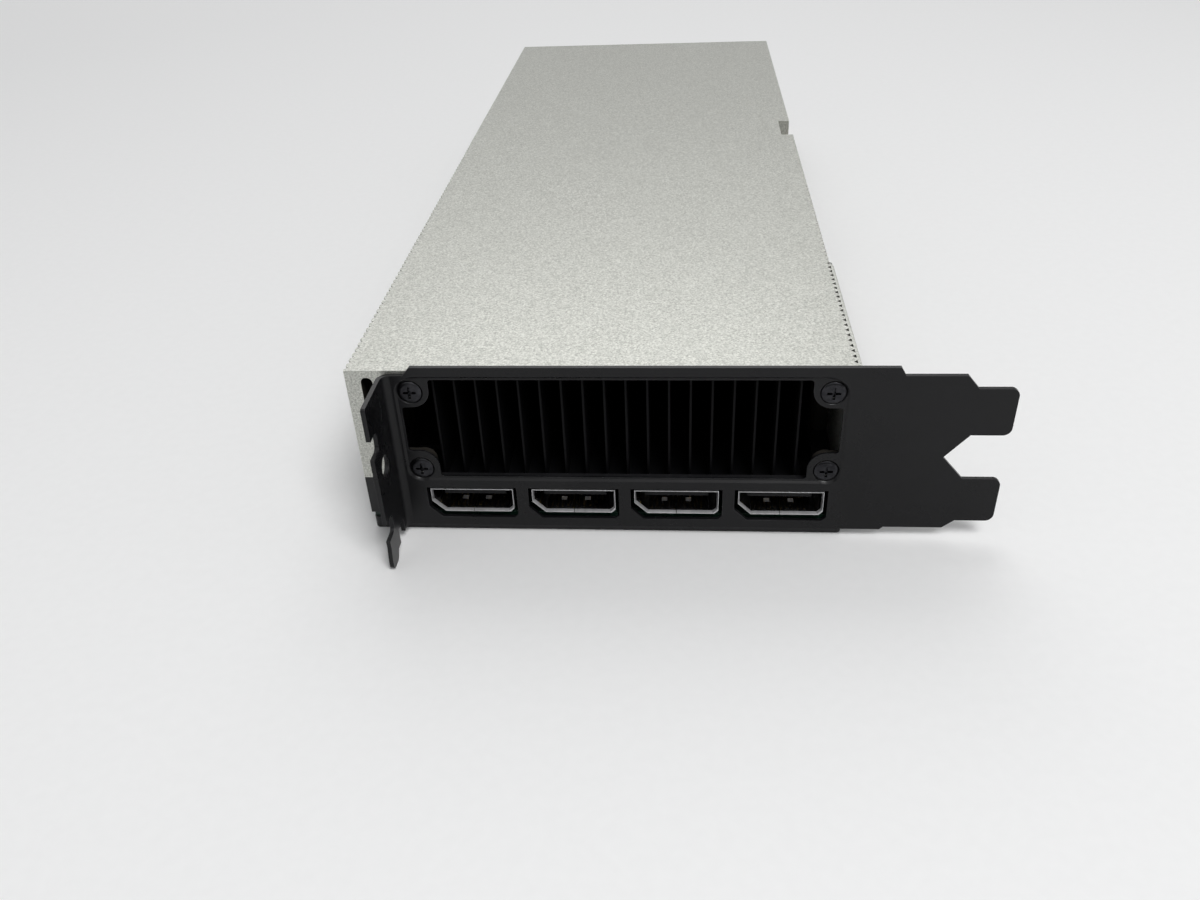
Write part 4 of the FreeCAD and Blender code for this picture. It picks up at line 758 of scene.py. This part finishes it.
def seenDirectly(tree):
    # 1 for what the camera, reflections and glass see, 0 for the light that falls on matt surfaces
    path = addNode(tree, "LightPath")
    total = plus(tree, path.outputs["Is Camera Ray"], path.outputs["Is Glossy Ray"])
    total = plus(tree, total, path.outputs["Is Transmission Ray"])
    limit = addNode(tree, "Math", {"operation": "MINIMUM"})
    tree.links.new(total, limit.inputs[0])
    limit.inputs[1].default_value = 1.0
    return limit.outputs[0]


def makeFloor():
    bm = bmesh.new()
    bmesh.ops.create_grid(bm, x_segments=1, y_segments=1, size=studio["floorReach"])
    bmesh.ops.translate(bm, verts=bm.verts, vec=(0, 0, -studio["floorDrop"]))
    finish, tree, shader = newFinish("palePaper")
    space = objectSpace(tree)
    grain = noise(tree, space, 420.0, 2.0)
    base = studio["floorColour"]
    tone = ramp(tree, grain, ((0.3, shade(base, 0.985)), (0.7, base)))
    seen = seenDirectly(tree)
    tone = blendColour(tree, seen, studio["floorBounce"], tone)
    tree.links.new(tone, shader.inputs["Base Color"])
    shader.inputs["Roughness"].default_value = 0.9
    # the far floor fades into the backdrop
    reach = addNode(tree, "VectorMath", {"operation": "LENGTH"})
    tree.links.new(space, reach.inputs[0])
    far = between(tree, reach.outputs["Value"], 0.0, 1.0, *studio["floorFades"])
    glow = addNode(tree, "Emission", Color=(*studio["floorFar"], 1))
    mix = addNode(tree, "MixShader")
    tree.links.new(times(tree, far, seen), mix.inputs[0])
    tree.links.new(shader.outputs[0], mix.inputs[1])
    tree.links.new(glow.outputs[0], mix.inputs[2])
    tree.links.new(mix.outputs[0], tree.nodes["Material Output"].inputs["Surface"])
    newPiece("studioFloor", bm, finish)


def makeWorld():
    world = bpy.data.worlds.new("studioWorld")
    world.use_nodes = True
    bpy.context.scene.world = world
    tree = world.node_tree
    light = tree.nodes["Background"]
    light.inputs["Color"].default_value = (0.98, 0.99, 1.0, 1)
    light.inputs["Strength"].default_value = studio["worldLight"]
    # the backdrop that is seen: as pale as the floor low down, dimmer above it, bright overhead
    coords = addNode(tree, "TexCoord")
    split = addNode(tree, "SeparateXYZ")
    tree.links.new(coords.outputs["Generated"], split.inputs[0])
    pale = ramp(tree, split.outputs["Z"], [(at, (value,) * 3) for at, value in studio["backdrop"]])
    backdrop = addNode(tree, "Background")
    tree.links.new(pale, backdrop.inputs["Color"])
    mix = addNode(tree, "MixShader")
    tree.links.new(seenDirectly(tree), mix.inputs[0])
    tree.links.new(light.outputs[0], mix.inputs[1])
    tree.links.new(backdrop.outputs[0], mix.inputs[2])
    tree.links.new(mix.outputs[0], tree.nodes["World Output"].inputs["Surface"])


def makeLamps():
    for name, (place, side, power) in studio["lamps"].items():
        light = bpy.data.lights.new(name, "AREA")
        light.shape = "SQUARE"
        light.size = side
        light.energy = power
        lamp = bpy.data.objects.new(name, light)
        lamp.location = place
        aim = Vector(studio["aim"]) - Vector(place)
        lamp.rotation_euler = aim.to_track_quat("-Z", "Y").to_euler()
        bpy.context.scene.collection.objects.link(lamp)


makeFloor()
makeWorld()
makeLamps()
bpy.context.scene.view_settings.view_transform = "Standard"
print("studio lit")

cameraView = {
    "place": (0.001462, -0.29299, 0.13273),
    "turn": (56.0515, 2.2605, 3.9994),  # degrees about X, Y and Z
    "lens": 30.565,
    "sensor": 36.0,
}


def makeCamera():
    lens = bpy.data.cameras.new("viewCamera")
    lens.lens = cameraView["lens"]
    lens.sensor_width = cameraView["sensor"]
    lens.clip_start = 0.01
    camera = bpy.data.objects.new("viewCamera", lens)
    camera.location = cameraView["place"]
    camera.rotation_euler = [math.radians(angle) for angle in cameraView["turn"]]
    bpy.context.scene.collection.objects.link(camera)
    bpy.context.scene.camera = camera


makeCamera()
print("camera placed")
